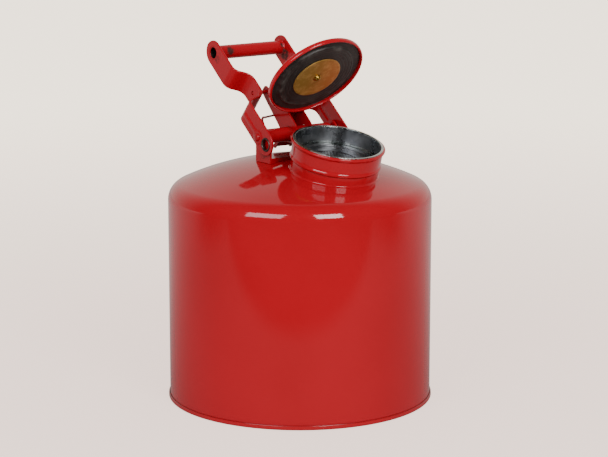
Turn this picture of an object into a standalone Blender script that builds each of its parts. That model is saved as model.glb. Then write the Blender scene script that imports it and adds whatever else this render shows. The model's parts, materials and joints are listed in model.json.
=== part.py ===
"""Safety gas can: a shouldered steel can with a wide neck, a hinged lid and a swinging strap handle.

Frame: metres, +Z up, the origin on the can's axis in the plane it stands on. The hinge pin runs along X,
the neck is on the -Y side and the handle leans back to the +Y side. The lid is modelled open.
"""

import math

import bmesh
import bpy
from mathutils import Matrix, Vector

MM = 0.001
GAP = 0.3 * MM  # clearance between pieces that touch on the real can
MERGE = 0.00002
LATHE_STEPS = 48

# can body
WALL_RADIUS = 157.0 * MM
SHELL_SHEET = 1.0 * MM
SHOULDER_HEIGHT = 241.0 * MM
SHOULDER_RADIUS = 22.0 * MM
DOME_RADIUS = 347.0 * MM
DOME_CENTRE = SHOULDER_HEIGHT - math.sqrt(
    (DOME_RADIUS - SHOULDER_RADIUS) ** 2 - (WALL_RADIUS - SHOULDER_RADIUS) ** 2
)  # height of the centre of the dome's sphere, which is tangent to the shoulder arc
DOME_TOP = DOME_CENTRE + DOME_RADIUS
CHIME_RADIUS = WALL_RADIUS + 1.75 * MM
CHIME_HEIGHT = 5.5 * MM
CHIME_WALL = 1.4 * MM
PAN_RISE = 9.0 * MM
SEAM_WIDTH = 9.0 * MM

# neck, measured in its own frame with the mouth plane at zero
NECK_FORWARD = 75.7 * MM
NECK_HEIGHT = DOME_TOP + 26.335 * MM
NECK_TILT = math.radians(13.5)
MOUTH_RADIUS = 50.3 * MM
COLLAR_RADIUS = MOUTH_RADIUS + 2.3 * MM
BEAD_RADIUS = MOUTH_RADIUS + 5.1 * MM
BEAD_HEIGHT = 5.0 * MM
COLLAR_DEPTH = 25.0 * MM
FOOT_RADIUS = MOUTH_RADIUS + 1.3 * MM
FOOT_DEPTH = 52.0 * MM
NECK_SHEET = 0.9 * MM
LINER_DEPTH = COLLAR_DEPTH
ARRESTER_DEPTH = 21.0 * MM
ARRESTER_RADIUS = MOUTH_RADIUS - 6.3 * MM
ARRESTER_LIP = 3.0 * MM
ARRESTER_PAN = 3.0 * MM
ARRESTER_SHEET = 0.8 * MM
SLOT_WIDTH = 4.0 * MM
SLOT_PITCH = 13.0 * MM
SLOT_ROWS = 2

# hinge
PIN_BACK = 5.5 * MM
PIN_HEIGHT = DOME_TOP + 26.135 * MM
PIN_RADIUS = 3.5 * MM
BARREL_RADIUS = 8.5 * MM
BARREL_WALL = 1.2 * MM
BARREL_HALF = 45.5 * MM
EAR_INSIDE = 49.6 * MM
EAR_SHEET = 2.6 * MM
EAR_BACK = 11.0 * MM
EAR_FRONT = 18.0 * MM
EAR_TOP_RADIUS = 11.0 * MM
BASE_SHEET = 2.6 * MM
HEAD_RADIUS = 4.2 * MM

# lid, measured from the pin: reach along the lid, height above the pin when the lid lies flat
LID_OPEN = math.radians(49.3)
PIN_TO_MOUTH = (NECK_FORWARD + PIN_BACK, NECK_HEIGHT - PIN_HEIGHT)
LID_REACH = PIN_TO_MOUTH[0] * math.cos(NECK_TILT) - PIN_TO_MOUTH[1] * math.sin(NECK_TILT)
MOUTH_ABOVE_PIN = PIN_TO_MOUTH[0] * math.sin(NECK_TILT) + PIN_TO_MOUTH[1] * math.cos(NECK_TILT)
CAP_RADIUS = BEAD_RADIUS + 5.4 * MM
CAP_RIM_WIDTH = 3.0 * MM
CAP_RIM_HEIGHT = 5.4 * MM
CAP_SHEET = 1.2 * MM
GASKET_SEAT = 2.2 * MM
GASKET_PAD = 2.6 * MM
RETAINER_RADIUS = 30.5 * MM
RETAINER_SHEET = 0.9 * MM
STUD_RADIUS = 3.0 * MM
NUT_RADIUS = 5.2 * MM

# lid lever, a channel that straddles the barrel
LEVER_HALF = 12.0 * MM
LEVER_SHEET = 1.8 * MM
LEVER_ARM = 97.0 * MM
LEVER_ARM_HEIGHT = 5.2 * MM
TOE_LENGTH = 36.0 * MM
TOE_TOP = 13.0 * MM

# return spring
WIRE_RADIUS = 1.35 * MM
SPRING_TURNS = 5
SPRING_PITCH = 3.4 * MM

# handle, measured from the pin along its straps
HANDLE_LEAN = math.radians(39.2)
STRAP_SHEET = 2.6 * MM
STRAP_WIDTH = 30.0 * MM
STRAP_OFFSET = 4.7 * MM
STRAP_HOLE = -16.5 * MM
STRAP_END = -29.0 * MM
GRIP_REACH = 135.0 * MM
STRAP_LOW_HALF = 57.0 * MM
STRAP_WAIST_HALF = 31.0 * MM
STRAP_TOP_HALF = 51.0 * MM
WAIST_LOW = 50.0 * MM
WAIST_HIGH = 81.0 * MM
JOG_LOW = 42.5 * MM
JOG_HIGH = 90.0 * MM
ROD_REACH = 65.0 * MM
ROD_RADIUS = 2.3 * MM
GRIP_RADIUS = 8.3 * MM
GRIP_WALL = 1.5 * MM
BUSH_RADIUS = 8.4 * MM
BUSH_BORE = 6.2 * MM
RIB_WIDTH = 7.0 * MM
RIB_RISE = 1.0 * MM
BOSS_RADIUS = 8.6 * MM
BOSS_RISE = 0.8 * MM

RED = (0.56, 0.012, 0.016, 1.0)
STEEL = (0.42, 0.44, 0.44, 1.0)
RUBBER = (0.018, 0.016, 0.016, 1.0)
BRASS = (0.50, 0.24, 0.06, 1.0)


def clear_scene():
    """Removes whatever objects the open file holds."""
    for item in list(bpy.data.objects):
        bpy.data.objects.remove(item, do_unlink=True)


def collection(name, hidden=False):
    """Makes a collection in the scene."""
    made = bpy.data.collections.new(name)
    bpy.context.scene.collection.children.link(made)
    made.hide_render = hidden
    return made


def material(name, colour, roughness, metallic=0.0):
    """Makes one Principled material."""
    made = bpy.data.materials.new(name)
    made.use_nodes = True
    shader = made.node_tree.nodes["Principled BSDF"]
    shader.inputs["Base Color"].default_value = colour
    shader.inputs["Roughness"].default_value = roughness
    shader.inputs["Metallic"].default_value = metallic
    made.diffuse_color = colour
    return made


def empty(name, place, turn=0.0):
    """Makes a frame at a place, turned about X."""
    frame = bpy.data.objects.new(name, None)
    frame.location = place
    frame.rotation_euler = (turn, 0.0, 0.0)
    PARTS.objects.link(frame)
    bpy.context.view_layer.update()
    return frame


def from_bmesh(name, shape, home=None):
    """Turns a bmesh into an object of the parts or cutters collection."""
    bmesh.ops.recalc_face_normals(shape, faces=shape.faces)
    mesh = bpy.data.meshes.new(name)
    shape.to_mesh(mesh)
    shape.free()
    made = bpy.data.objects.new(name, mesh)
    (home or PARTS).objects.link(made)
    if home is CUTTERS:
        made.hide_render = True
        made.display_type = "WIRE"
    return made


def finish(made, finish_material, frame=None, edge=35.0):
    """Gives an object its material, smooth round faces and its parent frame."""
    made.data.materials.append(finish_material)
    made.data.shade_smooth()
    made.data.set_sharp_from_angle(angle=math.radians(edge))
    if frame is not None:
        made.parent = frame
    return made


def lathe(name, points, home=None, steps=LATHE_STEPS, closed=True):
    """Turns a profile of (radius, height) about Z with a Screw modifier, and applies it.

    The points run down the outer side, from the top to the bottom. A closed profile returns up its inside.
    """
    mesh = bpy.data.meshes.new(name)
    edges = [(i, i + 1) for i in range(len(points) - 1)]
    if closed:
        edges.append((len(points) - 1, 0))
    mesh.from_pydata([(radius, 0.0, height) for radius, height in points], edges, [])
    made = bpy.data.objects.new(name, mesh)
    (home or PARTS).objects.link(made)
    screw = made.modifiers.new("turn", "SCREW")
    screw.steps = steps
    screw.render_steps = steps
    screw.use_merge_vertices = True
    screw.merge_threshold = MERGE
    apply_modifiers(made)
    if home is CUTTERS:
        made.hide_render = True
        made.display_type = "WIRE"
    return made


def apply_modifiers(made):
    """Replaces an object's mesh with its evaluated mesh, with loose doubles welded."""
    bpy.context.view_layer.update()
    graph = bpy.context.evaluated_depsgraph_get()
    mesh = bpy.data.meshes.new_from_object(made.evaluated_get(graph), depsgraph=graph)
    shape = bmesh.new()
    shape.from_mesh(mesh)
    bmesh.ops.remove_doubles(shape, verts=shape.verts, dist=MERGE)
    bmesh.ops.recalc_face_normals(shape, faces=shape.faces)
    shape.to_mesh(mesh)
    shape.free()
    if made.type == "MESH":
        made.modifiers.clear()
        made.data = mesh
        return made
    name, place, parent = made.name, made.matrix_world.copy(), made.parent
    homes = list(made.users_collection)
    bpy.data.objects.remove(made, do_unlink=True)
    solid = bpy.data.objects.new(name, mesh)
    for home in homes:
        home.objects.link(solid)
    solid.parent = parent
    solid.matrix_world = place
    return solid


def boolean(target, cutter, operation):
    """Cuts, joins or intersects two objects given in the same frame and keeps the result as plain mesh."""
    joint = target.modifiers.new("boolean", "BOOLEAN")
    joint.operation = operation
    joint.object = cutter
    apply_modifiers(target)
    bpy.data.objects.remove(cutter, do_unlink=True)
    return target


def cylinder(name, radius, start, end, home=None, sides=32):
    """A cylinder between two points."""
    axis = Vector(end) - Vector(start)
    shape = bmesh.new()
    bmesh.ops.create_cone(shape, cap_ends=True, segments=sides, radius1=radius, radius2=radius, depth=axis.length)
    place = Matrix.Translation((Vector(start) + Vector(end)) / 2) @ axis.to_track_quat("Z", "Y").to_matrix().to_4x4()
    bmesh.ops.transform(shape, matrix=place, verts=shape.verts)
    return from_bmesh(name, shape, home)


def box(name, low, high, home=None):
    """A box between two corners."""
    low, high = Vector(low), Vector(high)
    shape = bmesh.new()
    bmesh.ops.create_cube(shape, size=1.0)
    place = Matrix.Translation((low + high) / 2) @ Matrix.Diagonal((*(high - low), 1.0))
    bmesh.ops.transform(shape, matrix=place, verts=shape.verts)
    return from_bmesh(name, shape, home)


def tube(name, outer, inner, half, centre, home=None, sides=40):
    """A tube along X about a centre in the Y-Z plane, with both ends open."""
    across = Vector((1.0, 0.0, 0.0))
    body = cylinder(name, outer, centre - across * half, centre + across * half, home, sides)
    bore = cylinder(name + "_bore", inner, centre - across * (half + MM), centre + across * (half + MM), CUTTERS, sides)
    return boolean(body, bore, "DIFFERENCE")


def plate(name, outline, low, high, home=None):
    """A flat outline of (y, z) points made solid between two X values."""
    curve = bpy.data.curves.new(name, "CURVE")
    curve.dimensions = "2D"
    curve.fill_mode = "BOTH"
    curve.extrude = (high - low) / 2
    line = curve.splines.new("POLY")
    line.points.add(len(outline) - 1)
    for point, (y, z) in zip(line.points, outline):
        point.co = (y, z, 0.0, 1.0)
    line.use_cyclic_u = True
    made = bpy.data.objects.new(name, curve)
    made.matrix_world = Matrix(
        ((0.0, 0.0, 1.0, (low + high) / 2), (1.0, 0.0, 0.0, 0.0), (0.0, 1.0, 0.0, 0.0), (0.0, 0.0, 0.0, 1.0))
    )
    (home or PARTS).objects.link(made)
    solid = apply_modifiers(made)
    solid.data.transform(solid.matrix_world)
    solid.matrix_world = Matrix.Identity(4)
    if home is CUTTERS:
        solid.hide_render = True
        solid.display_type = "WIRE"
    return solid


def arc(centre, radius, start, end, steps):
    """Points of an arc about (y, z), with angles in degrees."""
    angles = (math.radians(start + (end - start) * i / steps) for i in range(steps + 1))
    return [(centre[0] + radius * math.cos(a), centre[1] + radius * math.sin(a)) for a in angles]


def rounded(points, radius, steps=4):
    """Rounds each corner of a closed outline with an arc of about the given radius."""
    result = []
    count = len(points)
    for i, corner in enumerate(points):
        here = Vector(corner)
        back = Vector(points[i - 1]) - here
        ahead = Vector(points[(i + 1) % count]) - here
        cut = min(radius, back.length * 0.45, ahead.length * 0.45)
        first = here + back.normalized() * cut
        last = here + ahead.normalized() * cut
        for k in range(steps + 1):
            t = k / steps
            spot = first * (1 - t) ** 2 + here * 2 * t * (1 - t) + last * t * t
            result.append((spot.x, spot.y))
    return result


def wire(name, points, radius, home=None):
    """A round wire along a list of points, with welded caps."""
    curve = bpy.data.curves.new(name, "CURVE")
    curve.dimensions = "3D"
    curve.bevel_depth = radius
    curve.bevel_resolution = 2
    curve.use_fill_caps = True
    line = curve.splines.new("POLY")
    line.points.add(len(points) - 1)
    for point, spot in zip(line.points, points):
        point.co = (*spot, 1.0)
    made = bpy.data.objects.new(name, curve)
    (home or PARTS).objects.link(made)
    return apply_modifiers(made)


def dome_cutter(name, clearance):
    """A solid sphere cap that is the dome's outside plus a clearance, in the can's frame."""
    shape = bmesh.new()
    bmesh.ops.create_uvsphere(shape, u_segments=128, v_segments=96, radius=DOME_RADIUS + clearance)
    low = Vector((0.0, 0.0, DOME_RADIUS * 0.86))
    bmesh.ops.bisect_plane(
        shape, geom=shape.verts[:] + shape.edges[:] + shape.faces[:], plane_co=low, plane_no=(0, 0, 1), clear_inner=True
    )
    bmesh.ops.holes_fill(shape, edges=[e for e in shape.edges if e.is_boundary], sides=0)
    bmesh.ops.translate(shape, vec=(0.0, 0.0, DOME_CENTRE), verts=shape.verts)
    return from_bmesh(name, shape, CUTTERS)


def to_can_frame(made, frame):
    """Bakes a frame's place into an object's mesh, so that it can be cut in the can's frame."""
    made.data.transform(frame.matrix_world)
    return made


# ---------------------------------------------------------------- can body


def shell_profile():
    """The shell's outer line, from the top of the dome down to the chime."""
    tip = math.atan2(SHOULDER_HEIGHT - DOME_CENTRE, WALL_RADIUS - SHOULDER_RADIUS)
    dome_steps, shoulder_steps = 8, 6
    line = []
    for i in range(dome_steps + 1):
        angle = math.pi / 2 + (tip - math.pi / 2) * i / dome_steps
        line.append((DOME_RADIUS * math.cos(angle), DOME_CENTRE + DOME_RADIUS * math.sin(angle)))
    for i in range(1, shoulder_steps + 1):
        angle = tip * (1 - i / shoulder_steps)
        line.append(
            (
                WALL_RADIUS - SHOULDER_RADIUS + SHOULDER_RADIUS * math.cos(angle),
                SHOULDER_HEIGHT + SHOULDER_RADIUS * math.sin(angle),
            )
        )
    line.append((WALL_RADIUS, CHIME_HEIGHT * 0.5))
    line[0] = (0.0, line[0][1])
    return line


def body_shell():
    """The can's wall, shoulder and dome in one sheet, open below and cut out under the neck."""
    made = lathe("body_shell", shell_profile(), closed=False)
    sheet = made.modifiers.new("sheet", "SOLIDIFY")
    sheet.thickness = SHELL_SHEET
    sheet.offset = -1.0
    apply_modifiers(made)
    hole = cylinder("neck_hole", FOOT_RADIUS + GAP, (0, 0, -80 * MM), (0, 0, 10 * MM), CUTTERS, LATHE_STEPS)
    return finish(boolean(made, to_can_frame(hole, NECK), "DIFFERENCE"), RED_BODY)


def side_seam():
    """The lap seam, a low strip down the back of the wall."""
    low = CHIME_HEIGHT + GAP
    outer = WALL_RADIUS + GAP
    half = SEAM_WIDTH / 2
    strip = box("side_seam", (-half, outer - 1.2 * MM, low), (half, outer + 0.7 * MM, SHOULDER_HEIGHT - 4 * MM))
    wall = cylinder("seam_wall", outer, (0, 0, 0), (0, 0, SHOULDER_HEIGHT), CUTTERS, 256)
    return finish(boolean(strip, wall, "DIFFERENCE"), RED_BODY)


def bottom_chime():
    """The rolled ring that wraps the foot of the wall and the edge of the pan."""
    inner = WALL_RADIUS - SHELL_SHEET - 2 * GAP - SHELL_SHEET - CHIME_WALL - 0.3 * MM
    inside = inner + CHIME_WALL
    outer = CHIME_RADIUS
    profile = [
        (outer - 0.5 * MM, CHIME_HEIGHT),
        (outer, CHIME_HEIGHT - 0.8 * MM),
        (outer, 1.2 * MM),
        (outer - 1.2 * MM, 0.0),
        (inner + 1.0 * MM, 0.0),
        (inner, 1.0 * MM),
        (inner, CHIME_HEIGHT),
        (inside, CHIME_HEIGHT),
        (inside, 1.4 * MM),
        (WALL_RADIUS + GAP, 1.4 * MM),
        (WALL_RADIUS + GAP, CHIME_HEIGHT),
    ]
    return finish(lathe("bottom_chime", profile), RED_BODY)


def base_pan():
    """The recessed bottom, a shallow dish whose edge turns down inside the wall."""
    edge = WALL_RADIUS - SHELL_SHEET - GAP
    sheet = SHELL_SHEET
    profile = [
        (0.0, PAN_RISE),
        (edge - 3 * MM, PAN_RISE),
        (edge - 1 * MM, PAN_RISE - 0.7 * MM),
        (edge, PAN_RISE - 2.6 * MM),
        (edge, 2.0 * MM),
        (edge - sheet, 2.0 * MM),
        (edge - sheet, PAN_RISE - 2.8 * MM),
        (edge - sheet - 2 * MM, PAN_RISE - sheet),
        (0.0, PAN_RISE - sheet),
    ]
    return finish(lathe("base_pan", profile, closed=False), RED_BODY)


def neck_collar():
    """The upper sleeve of the neck with its rolled bead, in the neck's frame."""
    bead = BEAD_RADIUS
    inner = MOUTH_RADIUS + NECK_SHEET + GAP
    profile = [
        (inner + 0.2 * MM, -GAP - 1.1 * MM),
        (bead - 1.8 * MM, -GAP - 0.6 * MM),
        (bead - 0.5 * MM, -1.5 * MM),
        (bead, -BEAD_HEIGHT * 0.5),
        (bead - 0.5 * MM, -BEAD_HEIGHT + 1.0 * MM),
        (bead - 1.9 * MM, -BEAD_HEIGHT),
        (COLLAR_RADIUS + 0.9 * MM, -BEAD_HEIGHT - 0.5 * MM),
        (COLLAR_RADIUS + 0.7 * MM, -COLLAR_DEPTH * 0.6),
        (COLLAR_RADIUS, -COLLAR_DEPTH),
        (inner, -COLLAR_DEPTH),
    ]
    return finish(lathe("neck_collar", profile), RED_BODY, NECK)


def neck_foot():
    """The lower sleeve of the neck, cut to the dome that it is brazed to."""
    inner = FOOT_RADIUS - NECK_SHEET
    profile = [
        (FOOT_RADIUS + 0.4 * MM, -COLLAR_DEPTH - GAP),
        (FOOT_RADIUS, -COLLAR_DEPTH - 2.2 * MM),
        (FOOT_RADIUS, -FOOT_DEPTH),
        (inner, -FOOT_DEPTH),
        (inner, -COLLAR_DEPTH - GAP),
    ]
    foot = to_can_frame(lathe("neck_foot", profile), NECK)
    return finish(boolean(foot, dome_cutter("dome_under_foot", GAP), "DIFFERENCE"), RED_BODY)


def neck_liner():
    """The bare lining of the mouth, turned out over the bead as the rim that the gasket meets."""
    outer = MOUTH_RADIUS + NECK_SHEET
    profile = [
        (outer - 0.4 * MM, 0.0),
        (outer + 1.6 * MM, -0.2 * MM),
        (outer + 1.6 * MM, -0.75 * MM),
        (outer, -1.1 * MM),
        (outer, -LINER_DEPTH),
        (MOUTH_RADIUS, -LINER_DEPTH),
        (MOUTH_RADIUS, -0.4 * MM),
    ]
    return finish(lathe("neck_liner", profile), BARE_STEEL, NECK)


def arrester_ring():
    """The ledge inside the neck that carries the flame arrester."""
    outer = MOUTH_RADIUS - GAP
    inner = ARRESTER_RADIUS - 2.0 * MM
    top = -ARRESTER_DEPTH
    profile = [
        (outer, top + 2.6 * MM),
        (outer, top - 2.0 * MM),
        (inner, top - 2.0 * MM),
        (inner, top - 0.9 * MM),
        (outer - 1.4 * MM, top - 0.9 * MM),
        (outer - 1.4 * MM, top + 2.6 * MM),
    ]
    return finish(lathe("arrester_ring", profile), BARE_STEEL, NECK)


def flame_arrester():
    """The shallow screen pan that hangs in the ledge, with a turned-out lip and a grid of open slots."""
    lip = -ARRESTER_DEPTH
    wall = ARRESTER_RADIUS - 2.0 * MM - GAP
    floor = lip - ARRESTER_PAN
    profile = [
        (ARRESTER_RADIUS + ARRESTER_LIP, lip + GAP),
        (ARRESTER_RADIUS + ARRESTER_LIP, lip + GAP - ARRESTER_SHEET),
        (wall, lip + GAP - ARRESTER_SHEET),
        (wall, floor),
        (0.0, floor),
        (0.0, floor + ARRESTER_SHEET),
        (wall - ARRESTER_SHEET, floor + ARRESTER_SHEET),
        (wall - ARRESTER_SHEET, lip + GAP),
    ]
    pan = lathe("flame_arrester", profile, closed=True)
    for row in range(-SLOT_ROWS, SLOT_ROWS + 1):
        half = wall - 12 * MM if abs(row) < SLOT_ROWS else wall - 22 * MM
        y = row * SLOT_PITCH
        low = (-half, y - SLOT_WIDTH / 2, floor - MM)
        high = (half, y + SLOT_WIDTH / 2, floor + ARRESTER_SHEET + MM)
        boolean(pan, box(f"slot_{row}", low, high, CUTTERS), "DIFFERENCE")
    return finish(pan, BARE_STEEL, NECK)


# ---------------------------------------------------------------- hinge


def hinge_bracket():
    """The U-shaped bracket: a base that follows the dome and two ears bored for the pin."""
    foot = DOME_TOP - PIN_HEIGHT - 12 * MM
    outside = EAR_INSIDE + EAR_SHEET
    ear = [(EAR_BACK, foot), *arc((0.0, 0.0), EAR_TOP_RADIUS, 0, 180, 10), (-EAR_FRONT, -14 * MM), (-EAR_FRONT, foot)]
    made = plate("hinge_bracket", ear, -outside, outside)
    base_top = DOME_TOP - PIN_HEIGHT + BASE_SHEET
    room = box(
        "bracket_room",
        (-EAR_INSIDE, -EAR_FRONT - MM, base_top),
        (EAR_INSIDE, EAR_BACK + MM, EAR_TOP_RADIUS + MM),
        CUTTERS,
    )
    boolean(made, room, "DIFFERENCE")
    bore = cylinder("ear_bore", PIN_RADIUS + GAP, (-outside - MM, 0, 0), (outside + MM, 0, 0), CUTTERS, 24)
    boolean(made, bore, "DIFFERENCE")
    made.data.transform(Matrix.Translation(PIN_PLACE))
    return finish(boolean(made, dome_cutter("dome_under_bracket", GAP), "DIFFERENCE"), RED_BODY)


def hinge_pin():
    """The long pin through ears, barrel and straps."""
    half = STRAP_LOW_HALF + BOSS_RISE + 0.4 * MM
    made = cylinder("hinge_pin", PIN_RADIUS, (-half, 0, 0), (half, 0, 0), sides=20)
    made.location = PIN_PLACE
    return finish(made, BARE_STEEL)


def pin_head(side, name):
    """A domed head closed over one end of the pin."""
    profile = [
        (0.0, 2.2 * MM),
        (HEAD_RADIUS * 0.6, 1.8 * MM),
        (HEAD_RADIUS * 0.93, 0.9 * MM),
        (HEAD_RADIUS, 0.0),
        (0.0, 0.0),
    ]
    made = lathe(name, profile, steps=24, closed=False)
    start = STRAP_LOW_HALF + BOSS_RISE + 0.4 * MM + GAP
    turn = Matrix.Rotation(side * math.pi / 2, 4, "Y")
    made.data.transform(Matrix.Translation((side * start, 0, 0)) @ turn)
    made.location = PIN_PLACE
    return finish(made, RED_PART)


def ear_spacer(side, name):
    """A washer on the pin between an ear and its strap."""
    start = EAR_INSIDE + EAR_SHEET + GAP
    end = STRAP_LOW_HALF - STRAP_SHEET - GAP
    made = tube(name, 7.0 * MM, PIN_RADIUS + GAP, (end - start) / 2, Vector((side * (start + end) / 2, 0, 0)), sides=24)
    made.location = PIN_PLACE
    return finish(made, BARE_STEEL)


# ---------------------------------------------------------------- lid


def rod_in_lid():
    """Where the waist rod lies in the lid's frame, as (y, z)."""
    world = HANDLE.matrix_world @ Vector((0.0, -STRAP_OFFSET, ROD_REACH))
    local = LID.matrix_world.inverted() @ world
    return local.y, local.z


def tail_back(height):
    """The y of the tail's back edge at a height, a straight line from the toe to the rod."""
    rod_y, rod_z = rod_in_lid()
    low_y, low_z = 8.0 * MM, 22.0 * MM
    return low_y + (rod_y + 7.0 * MM - low_y) * (height - low_z) / (rod_z - low_z)


def lever_outline():
    """The flange's outline in the lid's frame: tail up to the rod, toe behind, arm forward over the cap."""
    rod_y, rod_z = rod_in_lid()
    cap_edge = LID_REACH - CAP_RADIUS
    under = ARM_UNDER
    outline = [
        (-cap_edge + GAP, -3.0 * MM),
        (-6.0 * MM, -11.5 * MM),
        (5.0 * MM, -11.5 * MM),
        (11.0 * MM, -3.0 * MM),
        (11.0 * MM, 7.0 * MM),
        (TOE_LENGTH, TOE_TOP - 5.0 * MM),
        (TOE_LENGTH, TOE_TOP),
        (9.5 * MM, TOE_TOP),
        (tail_back(22.0 * MM), 22.0 * MM),
        (tail_back(rod_z), rod_z),
        (rod_y + 5.0 * MM, rod_z + 6.5 * MM),
        (rod_y - 5.0 * MM, rod_z + 6.5 * MM),
        (rod_y - 7.5 * MM, rod_z - 4.0 * MM),
        (-14.0 * MM, under + 16.0 * MM),
        (-24.0 * MM, under + LEVER_ARM_HEIGHT + 3.0 * MM),
        (-36.0 * MM, under + LEVER_ARM_HEIGHT),
        (-LEVER_ARM + 6 * MM, under + LEVER_ARM_HEIGHT),
        (-LEVER_ARM, under + LEVER_ARM_HEIGHT - 2.5 * MM),
        (-LEVER_ARM, under),
        (-cap_edge + GAP, under),
    ]
    return rounded(outline, 3.0 * MM, 3)


def lid_lever():
    """The stamped channel: two flanges joined by a web behind the tail and over the arm."""
    made = plate("lid_lever", lever_outline(), -LEVER_HALF, LEVER_HALF)
    inside = LEVER_HALF - LEVER_SHEET
    rod_y, rod_z = rod_in_lid()
    sheet = LEVER_SHEET
    arm_top = ARM_UNDER + LEVER_ARM_HEIGHT
    floor = arm_top + 1.2 * MM
    tail = [
        (-60 * MM, floor),
        (-60 * MM, rod_z + 20 * MM),
        (rod_y + 2.0 * MM, rod_z + 20 * MM),
        (tail_back(rod_z) - sheet, rod_z),
        (tail_back(floor) - sheet, floor),
    ]
    boolean(made, plate("tail_room", tail, -inside, inside, CUTTERS), "DIFFERENCE")
    arm = [
        (-LEVER_ARM - 2 * MM, -20 * MM),
        (-LEVER_ARM - 2 * MM, arm_top - sheet),
        (tail_back(arm_top) - sheet, arm_top - sheet),
        (7.6 * MM, TOE_TOP - sheet),
        (TOE_LENGTH + 2 * MM, TOE_TOP - sheet),
        (TOE_LENGTH + 2 * MM, -20 * MM),
    ]
    boolean(made, plate("arm_room", arm, -inside, inside, CUTTERS), "DIFFERENCE")
    for name, radius, centre in (
        ("barrel_hole", BARREL_RADIUS + GAP, (0.0, 0.0)),
        ("rod_hole", ROD_RADIUS + GAP, (rod_y, rod_z)),
    ):
        ends = [(x, *centre) for x in (-LEVER_HALF - MM, LEVER_HALF + MM)]
        boolean(made, cylinder(name, radius, *ends, CUTTERS, 32), "DIFFERENCE")
    stud = cylinder(
        "stud_hole",
        STUD_RADIUS + GAP,
        (0, -LID_REACH, ARM_UNDER - MM),
        (0, -LID_REACH, arm_top + 2 * MM),
        CUTTERS,
        24,
    )
    return finish(boolean(made, stud, "DIFFERENCE"), RED_PART, LID, 25.0)


def lever_barrel():
    """The tube that covers the spring and turns on the pin."""
    made = tube("lever_barrel", BARREL_RADIUS, BARREL_RADIUS - BARREL_WALL, BARREL_HALF, Vector((0, 0, 0)))
    return finish(made, RED_PART, LID)


def lid_spring():
    """The torsion spring: turns inside the barrel and a leg that rises to hook behind the lever."""
    mean = (PIN_RADIUS + BARREL_RADIUS - BARREL_WALL) / 2
    start = -BARREL_HALF - WIRE_RADIUS - GAP
    steps = 11
    points = []
    rest = math.radians(120)
    for i in range(SPRING_TURNS * steps + 1):
        angle = rest + 2 * math.pi * i / steps
        points.append((start + SPRING_PITCH * i / steps, mean * math.cos(angle), mean * math.sin(angle)))
    hook = 37.5 * MM
    behind = tail_back(hook) + WIRE_RADIUS + 2 * GAP
    leg = [
        (4.0 * MM - LEVER_HALF, behind, hook),
        (-3.0 * MM - LEVER_HALF, behind - 0.2 * MM, hook - 1.0 * MM),
        (-36.0 * MM, -4.5 * MM, 25.0 * MM),
        (-42.0 * MM, -9.0 * MM, 21.5 * MM),
        (start + 0.6 * MM, -10.5 * MM, 16.0 * MM),
        (start, -8.0 * MM, 8.0 * MM),
    ]
    return finish(wire("lid_spring", smooth(leg, 3) + points, WIRE_RADIUS), RED_PART, LID)


def smooth(points, steps):
    """A Catmull-Rom curve through points, as a list that leaves out the last point."""
    spots = [Vector(p) for p in points]
    spots = [spots[0] * 2 - spots[1], *spots, spots[-1] * 2 - spots[-2]]
    line = []
    for a, b, c, d in zip(spots, spots[1:], spots[2:], spots[3:]):
        for k in range(steps):
            t = k / steps
            line.append(0.5 * (2 * b + (c - a) * t + (2 * a - 5 * b + 4 * c - d) * t**2 + (3 * b - a - 3 * c + d) * t**3))
    return [tuple(spot) for spot in line]


def place_on_lid(made):
    """Moves a piece turned about Z to the middle of the lid."""
    made.data.transform(Matrix.Translation((0.0, -LID_REACH, 0.0)))
    return made


def lid_cap():
    """The pressed cap: low dome, rolled rim and a seat for the gasket."""
    seat = CAP_SEAT
    rim = CAP_RADIUS
    low = CAP_RIM_LOW
    top = seat + CAP_SHEET
    profile = [
        (STUD_RADIUS + GAP, top),
        (rim - 8 * MM, top),
        (rim - 3 * MM, top - 0.3 * MM),
        (rim - 0.8 * MM, top - 1.1 * MM),
        (rim, top - 2.3 * MM),
        (rim, low + 1.2 * MM),
        (rim - 0.9 * MM, low + 0.2 * MM),
        (rim - CAP_RIM_WIDTH * 0.5, low),
        (rim - CAP_RIM_WIDTH + 0.5 * MM, low + 0.5 * MM),
        (rim - CAP_RIM_WIDTH, low + 1.4 * MM),
        (rim - CAP_RIM_WIDTH, seat),
        (STUD_RADIUS + GAP, seat),
    ]
    made = place_on_lid(lathe("lid_cap", profile))
    return finish(made, RED_PART, LID)


def lid_gasket():
    """The rubber disc: a seat ring that meets the mouth and a thicker pad inside it."""
    outer = CAP_RADIUS - CAP_RIM_WIDTH - 0.5 * MM
    face = CAP_SEAT - GAP - GASKET_SEAT
    pad = MOUTH_RADIUS - 1.2 * MM
    profile = [
        (outer, CAP_SEAT - GAP),
        (outer, face),
        (pad + 0.8 * MM, face),
        (pad, face - 0.5 * MM),
        (pad - 1.4 * MM, face - GASKET_PAD),
        (STUD_RADIUS + GAP, face - GASKET_PAD),
        (STUD_RADIUS + GAP, CAP_SEAT - GAP),
    ]
    return finish(place_on_lid(lathe("lid_gasket", profile)), BLACK_RUBBER, LID)


def gasket_retainer():
    """The brass washer that clamps the gasket."""
    top = RETAINER_TOP
    edge = RETAINER_RADIUS
    profile = [
        (edge, top),
        (edge, top - 0.5 * MM),
        (edge - 1.5 * MM, top - RETAINER_SHEET),
        (STUD_RADIUS + GAP, top - RETAINER_SHEET),
        (STUD_RADIUS + GAP, top),
    ]
    return finish(place_on_lid(lathe("gasket_retainer", profile)), BRASS_SHEET, LID)


def lid_stud():
    """The stud through retainer, gasket, cap and lever arm."""
    low = RETAINER_TOP - RETAINER_SHEET - 2.6 * MM
    high = ARM_UNDER + LEVER_ARM_HEIGHT + 1.6 * MM
    made = cylinder("lid_stud", STUD_RADIUS, (0, 0, low), (0, 0, high), sides=24)
    return finish(place_on_lid(made), BRASS_SHEET, LID)


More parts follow.
